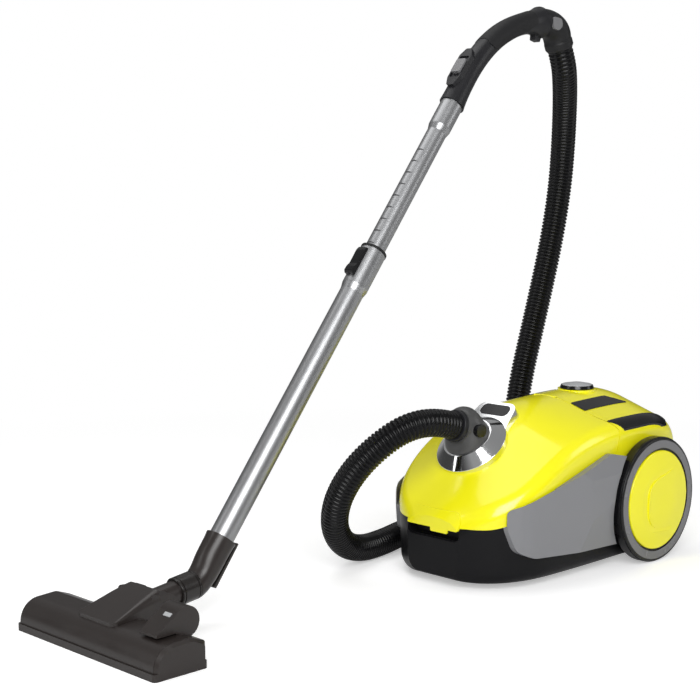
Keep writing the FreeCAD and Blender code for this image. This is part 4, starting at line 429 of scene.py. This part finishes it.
# ---------------------------------------------------------------- small pieces
WAND_FOOT = Vector((-0.637, 0.085, 0.0995))
WAND_AXIS = Vector((0.6157, 0, 0.7880))
WAND_FRONT = Vector((-0.7880, 0, 0.6157))
WAND_SIDE = Vector((0, 1, 0))
UPPER_TUBE_RADIUS = 0.01425
NOTCH_START = 0.4614
NOTCH_PITCH = 0.0201
NOTCH_COUNT = 9
NOTCH_SPREAD = math.radians(31)
NOTCH_WIDTH = 0.0023
NOTCH_STEPS = 14
# Half the width that is left at a notch's two tips.
NOTCH_TIP = 0.0001
# The notches are not dented into the tube; their shade is painted on these lenses.
# The lens starts inside the tube's wall and stands a little proud of it.
NOTCH_RADII = (UPPER_TUBE_RADIUS - 0.0004, UPPER_TUBE_RADIUS + 0.00012)

ROCKER_SLOPE = math.radians(-38.7)
MARKER_SIZE = (0.0055, 0.013, 0.0016)
MARKER_PLACE = (-0.8010, -0.020, 0.0620)
MARKER_EDGE = 0.0004


def wand_notch_shade():
    """The row of pressed notches that the sliding latch drops into, drawn as thin dark lenses of
    painted shade.
    """
    verts, faces = [], []
    for n in range(NOTCH_COUNT):
        first = len(verts)
        centre = WAND_FOOT + WAND_AXIS * (NOTCH_START + NOTCH_PITCH * n)
        for i in range(NOTCH_STEPS + 1):
            share = 2 * i / NOTCH_STEPS - 1
            turn = NOTCH_SPREAD * share
            out = WAND_FRONT * math.cos(turn) + WAND_SIDE * math.sin(turn)
            half = NOTCH_WIDTH / 2 * (1 - share ** 2) + NOTCH_TIP
            for radius in NOTCH_RADII:
                for end in (-half, half):
                    verts.append(centre + out * radius + WAND_AXIS * end)
        for i in range(NOTCH_STEPS):
            a, b = first + i * 4, first + i * 4 + 4
            faces += [(a, b, b + 1, a + 1), (a + 2, a + 3, b + 3, b + 2),
                      (a, a + 2, b + 2, b), (a + 1, b + 1, b + 3, a + 3)]
        a, b = first, first + NOTCH_STEPS * 4
        faces += [(a, a + 1, a + 3, a + 2), (b, b + 2, b + 3, b + 1)]
    return mesh_object("wand_notch_shade", verts, faces, smooth=False)


dress(wand_notch_shade(), notch_shade, "canister")
dress(slab("rocker_marker", MARKER_SIZE, MARKER_PLACE, ROCKER_SLOPE, MARKER_EDGE),
      light_grey, "rocker")


# ---------------------------------------------------------------- floor and room
FLOOR_REACH = 12
FLOOR_WHITE = (0.86, 0.86, 0.86, 1)
FLOOR_ROUGHNESS = 0.7
FLOOR_GLEAM = 0.1
FLOOR_GLOW = 0.40
SWEEP_CENTRE = (-0.37, 0.03, 0)
CLEAR_RADIUS = (0.75, 1.6)

PLAIN_WHITE = (1, 1, 1, 1)
ROOM_LIGHT = 0.50
# The room's grey by height, from the horizon at 0.5 to straight up at 1.
ROOM_BANDS = ((0.50, 0.80), (0.54, 0.10), (0.62, 0.10), (0.70, 0.62), (1.0, 0.50))


def background_rays(tree):
    """1 for a ray from the camera or through glass, which sees the plain white background."""
    rays = tree.nodes.new("ShaderNodeLightPath")
    return math_node(tree, "MAXIMUM", rays.outputs["Is Camera Ray"],
                     rays.outputs["Is Transmission Ray"])


def shader_node(tree, kind, *sources):
    """A node that joins shaders, with its sockets linked in order."""
    node = tree.nodes.new(kind)
    for socket, source in zip(node.inputs, sources):
        tree.links.new(source, socket)
    return node.outputs[0]


def white_sweep():
    """A white floor that keeps the shadow near the object and fades to plain white beyond."""
    floor = mesh_object("floor", [(-FLOOR_REACH, -FLOOR_REACH, 0), (FLOOR_REACH, -FLOOR_REACH, 0),
                                  (FLOOR_REACH, FLOOR_REACH, 0), (-FLOOR_REACH, FLOOR_REACH, 0)],
                        [(0, 1, 2, 3)], smooth=False)
    material, tree, shader = new_material("floor_white")
    shader.inputs["Base Color"].default_value = FLOOR_WHITE
    shader.inputs["Roughness"].default_value = FLOOR_ROUGHNESS
    shader.inputs["Specular IOR Level"].default_value = FLOOR_GLEAM
    x, y, _ = split(tree, object_coordinates(tree, origin=SWEEP_CENTRE))
    far = remap(tree, hypotenuse(tree, x, y), 0.0, 1.0, *CLEAR_RADIUS)
    glow = tree.nodes.new("ShaderNodeEmission")
    glow.inputs["Strength"].default_value = FLOOR_GLOW
    white = tree.nodes.new("ShaderNodeEmission")
    plain = shader.outputs[0]
    near = shader_node(tree, "ShaderNodeAddShader", plain, glow.outputs[0])
    sweep = shader_node(tree, "ShaderNodeMixShader", far, near, white.outputs[0])
    surface = shader_node(tree, "ShaderNodeMixShader", background_rays(tree), plain, sweep)
    output = next(node for node in tree.nodes if node.type == "OUTPUT_MATERIAL")
    tree.links.new(surface, output.inputs["Surface"])
    floor.data.materials.append(material)


def lit_room():
    """A room lit in soft bands, which the background rays see as plain white."""
    world = bpy.data.worlds.new("studio")
    bpy.context.scene.world = world
    world.use_nodes = True
    tree = world.node_tree
    tree.nodes.clear()
    source = tree.nodes.new("ShaderNodeTexCoord")
    height = split(tree, source.outputs["Generated"])[2]
    bands = tree.nodes.new("ShaderNodeValToRGB")
    tree.links.new(remap(tree, height, 0.0, 1.0, -1.0, 1.0), bands.inputs["Fac"])
    ramp = bands.color_ramp
    while len(ramp.elements) < len(ROOM_BANDS):
        ramp.elements.new(0.5)
    for element, (at, grey) in zip(ramp.elements, ROOM_BANDS):
        element.position = at
        element.color = (grey, grey, grey, 1)
    dim = tree.nodes.new("ShaderNodeBackground")
    tree.links.new(bands.outputs["Color"], dim.inputs["Color"])
    dim.inputs["Strength"].default_value = ROOM_LIGHT
    bright = tree.nodes.new("ShaderNodeBackground")
    bright.inputs["Color"].default_value = PLAIN_WHITE
    surface = shader_node(tree, "ShaderNodeMixShader", background_rays(tree), dim.outputs[0],
                          bright.outputs[0])
    output = tree.nodes.new("ShaderNodeOutputWorld")
    tree.links.new(surface, output.inputs["Surface"])


# ---------------------------------------------------------------- lamps
def add_lamp(name, place, target, size, power):
    """A rectangular lamp at one place, facing another."""
    light = bpy.data.lights.new(name, "AREA")
    light.shape = "RECTANGLE"
    light.size, light.size_y = size
    light.energy = power
    lamp = add_object(name, light)
    lamp.location = place
    aim = Vector(target) - Vector(place)
    lamp.rotation_euler = aim.to_track_quat("-Z", "Y").to_euler()


white_sweep()
lit_room()
add_lamp("key", place=(-2.6, -2.4, 2.0), target=(-0.2, 0, 0.2), size=(2.2, 2.2), power=114)
add_lamp("top", place=(-0.4, 0.9, 3.0), target=(-0.2, 0, 0.1), size=(2.2, 2.2), power=26)
add_lamp("side", place=(2.2, -2.6, 1.6), target=(0, 0, 0.2), size=(1.0, 1.8), power=14)
add_lamp("front", place=(-3.0, 1.6, 1.4), target=(-0.3, 0, 0.2), size=(0.8, 1.8), power=12)
